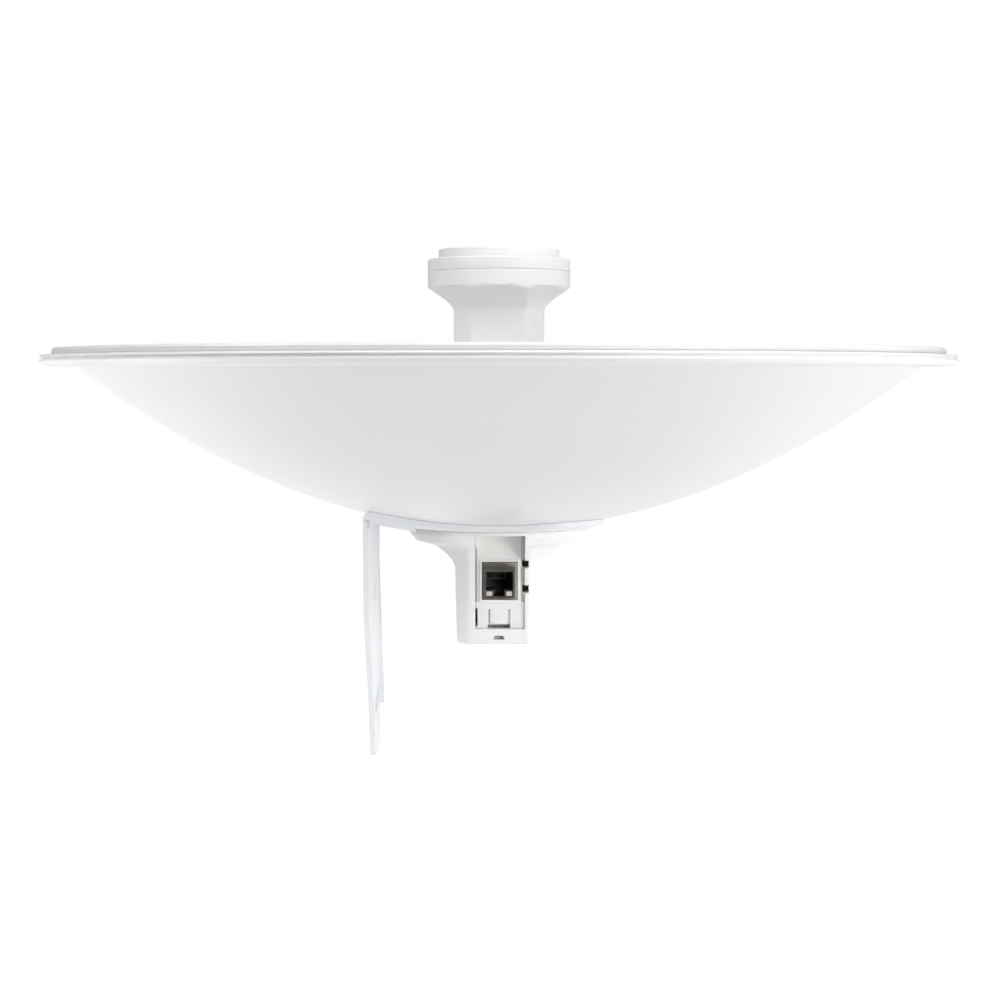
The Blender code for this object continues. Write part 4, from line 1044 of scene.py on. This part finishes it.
def build_board():
    """Circuit board behind the jack, between the tray's side walls."""
    low = (CAVITY_LEFT_X + GAP, BOARD_FRONT_Y, FRAME_LOW_Z + GAP)
    high = (CAVITY_RIGHT_X - GAP, BOARD_FRONT_Y + BOARD_THICKNESS, BAY_TOP_Z - MM)
    board = link("radio_board", block(low, high), smooth_deg=None)
    bevel(board, 0.1 * MM, 1)
    finish_piece(board, BOARD, "board_laminate", "circuit_board")


# Studio

def smooth_ramp(tree, value, limits, top=1.0):
    """Output that rises smoothly from 0 to top while a value passes from one limit to the other."""
    ramp = tree.nodes.new("ShaderNodeMapRange")
    ramp.interpolation_type = "SMOOTHSTEP"
    ramp.inputs["From Min"].default_value = limits[0]
    ramp.inputs["From Max"].default_value = limits[1]
    ramp.inputs["To Max"].default_value = top
    tree.links.new(value, ramp.inputs["Value"])
    return ramp.outputs["Result"]


def larger(tree, one, other):
    """Output that is the larger of two values."""
    node = tree.nodes.new("ShaderNodeMath")
    node.operation = "MAXIMUM"
    tree.links.new(one, node.inputs[0])
    tree.links.new(other, node.inputs[1])
    return node.outputs["Value"]


def floor_surface():
    """Matt floor, white to the camera, that glows strongly beside and behind the part and weakly under it."""
    surface = bpy.data.materials.new("studio_floor")
    surface.use_nodes = True
    tree = surface.node_tree
    nodes = tree.nodes
    shader = nodes["Principled BSDF"]
    shader.inputs["Base Color"].default_value = (FLOOR_GREY, FLOOR_GREY, FLOOR_GREY, 1.0)
    shader.inputs["Roughness"].default_value = 1.0
    shader.inputs["Specular IOR Level"].default_value = 0.0
    shader.inputs["Emission Color"].default_value = WHITE

    place = nodes.new("ShaderNodeTexCoord")
    axes = nodes.new("ShaderNodeSeparateXYZ")
    tree.links.new(place.outputs["Object"], axes.inputs["Vector"])
    across = nodes.new("ShaderNodeMath")
    across.operation = "ABSOLUTE"
    tree.links.new(axes.outputs["X"], across.inputs[0])
    beside = smooth_ramp(tree, across.outputs["Value"], FLOOR_BESIDE_X)
    behind = smooth_ramp(tree, axes.outputs["Y"], FLOOR_BEHIND_Y)
    under = smooth_ramp(tree, axes.outputs["Y"], FLOOR_BEFORE_Y, FLOOR_GLOW_UNDER)
    glow = nodes.new("ShaderNodeMapRange")
    glow.inputs["To Max"].default_value = FLOOR_GLOW_AROUND
    tree.links.new(under, glow.inputs["To Min"])
    tree.links.new(larger(tree, beside, behind), glow.inputs["Value"])
    path = nodes.new("ShaderNodeLightPath")
    shown = larger(tree, path.outputs["Is Camera Ray"], glow.outputs["Result"])
    tree.links.new(shown, shader.inputs["Emission Strength"])
    return surface


def build_floor():
    """Pale floor under the part, ending behind the camera."""
    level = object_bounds()[0].z - FLOOR_DROP
    shape = bmesh.new()
    corners = [(-FLOOR_REACH, FLOOR_NEAR_Y), (FLOOR_REACH, FLOOR_NEAR_Y), (FLOOR_REACH, FLOOR_REACH),
               (-FLOOR_REACH, FLOOR_REACH)]
    shape.faces.new([shape.verts.new((x, y, level)) for x, y in corners])
    mesh = bpy.data.meshes.new("studio_floor")
    shape.to_mesh(mesh)
    shape.free()
    mesh.materials.append(floor_surface())
    item = bpy.data.objects.new("studio_floor", mesh)
    bpy.context.scene.collection.objects.link(item)
    item.location = (AXIS.x, AXIS.y, 0.0)


def add_softbox(name, place, size, watts):
    """Soft light at a place given from the foot of the dish axis, and aimed at that foot."""
    lamp = bpy.data.lights.new(name, "AREA")
    lamp.shape = "RECTANGLE"
    lamp.size = size[0]
    lamp.size_y = size[1]
    lamp.energy = watts
    item = bpy.data.objects.new(name, lamp)
    bpy.context.scene.collection.objects.link(item)
    item.location = AXIS + Vector(place)
    aim = AXIS - item.location
    item.rotation_euler = aim.to_track_quat("-Z", "Y").to_euler()


def build_room():
    """Room that is white to the camera and lights the part faintly from the back."""
    world = bpy.data.worlds.new("studio")
    bpy.context.scene.world = world
    world.use_nodes = True
    tree = world.node_tree
    nodes = tree.nodes
    seen = nodes["Background"]
    seen.inputs["Color"].default_value = WHITE
    seen.inputs["Strength"].default_value = 1.0
    around = nodes.new("ShaderNodeBackground")
    around.inputs["Color"].default_value = ROOM_TINT
    place = nodes.new("ShaderNodeTexCoord")
    axes = nodes.new("ShaderNodeSeparateXYZ")
    tree.links.new(place.outputs["Generated"], axes.inputs["Vector"])
    strength = smooth_ramp(tree, axes.outputs["Y"], ROOM_BACK_FROM, ROOM_BACK)
    tree.links.new(strength, around.inputs["Strength"])
    path = nodes.new("ShaderNodeLightPath")
    mix = nodes.new("ShaderNodeMixShader")
    tree.links.new(path.outputs["Is Camera Ray"], mix.inputs["Fac"])
    tree.links.new(around.outputs["Background"], mix.inputs[1])
    tree.links.new(seen.outputs["Background"], mix.inputs[2])
    tree.links.new(mix.outputs["Shader"], nodes["World Output"].inputs["Surface"])


def build_lamps():
    """Soft boxes: low at both sides, above the rim in front, and overhead."""
    add_softbox("right_box", (0.9, -1.0, -0.38), (0.8, 0.8), 11.9)
    add_softbox("right_rear_box", (1.3, 0.3, -0.3), (0.8, 0.8), 2.2)
    add_softbox("left_box", (-0.7, -0.05, -0.5), (0.7, 0.9), 5.0)
    add_softbox("front_left_box", (-0.9, -0.9, 0.55), (0.25, 0.7), 3.6)
    add_softbox("upper_left_box", (-1.1, -0.35, 0.95), (0.4, 0.7), 7.0)
    add_softbox("upper_front_box", (0.55, -1.1, 0.55), (0.25, 0.7), 4.0)
    add_softbox("upper_right_box", (0.98, -0.66, 0.85), (0.25, 0.7), 8.6)
    add_softbox("top_box", (0.1, -0.2, 1.3), (1.4, 1.2), 11.0)


def build_camera():
    """Camera just below the rim's height, tilted down to the photograph's framing."""
    camera = bpy.data.cameras.new("camera")
    camera.sensor_width = SENSOR_MM
    camera.lens = SENSOR_MM * FOCAL_PIXELS / IMAGE_PIXELS
    camera.clip_start = 0.02
    camera.clip_end = 50.0
    item = bpy.data.objects.new("camera", camera)
    bpy.context.scene.collection.objects.link(item)
    item.location = AXIS + Vector((CAMERA_SIDE, -CAMERA_DISTANCE, CAMERA_HEIGHT))
    tilt = math.atan((IMAGE_PIXELS / 2.0 - HORIZON_ROW) / FOCAL_PIXELS)
    item.rotation_euler = (math.pi / 2.0 - tilt, 0.0, 0.0)
    bpy.context.scene.camera = item
    bpy.context.scene.view_settings.view_transform = "Standard"


build_camera()
build_dish()
build_hub_stack()
build_feed()
build_bracket()
build_housing()
build_tray()
build_jack()
build_board()
build_floor()
build_room()
build_lamps()
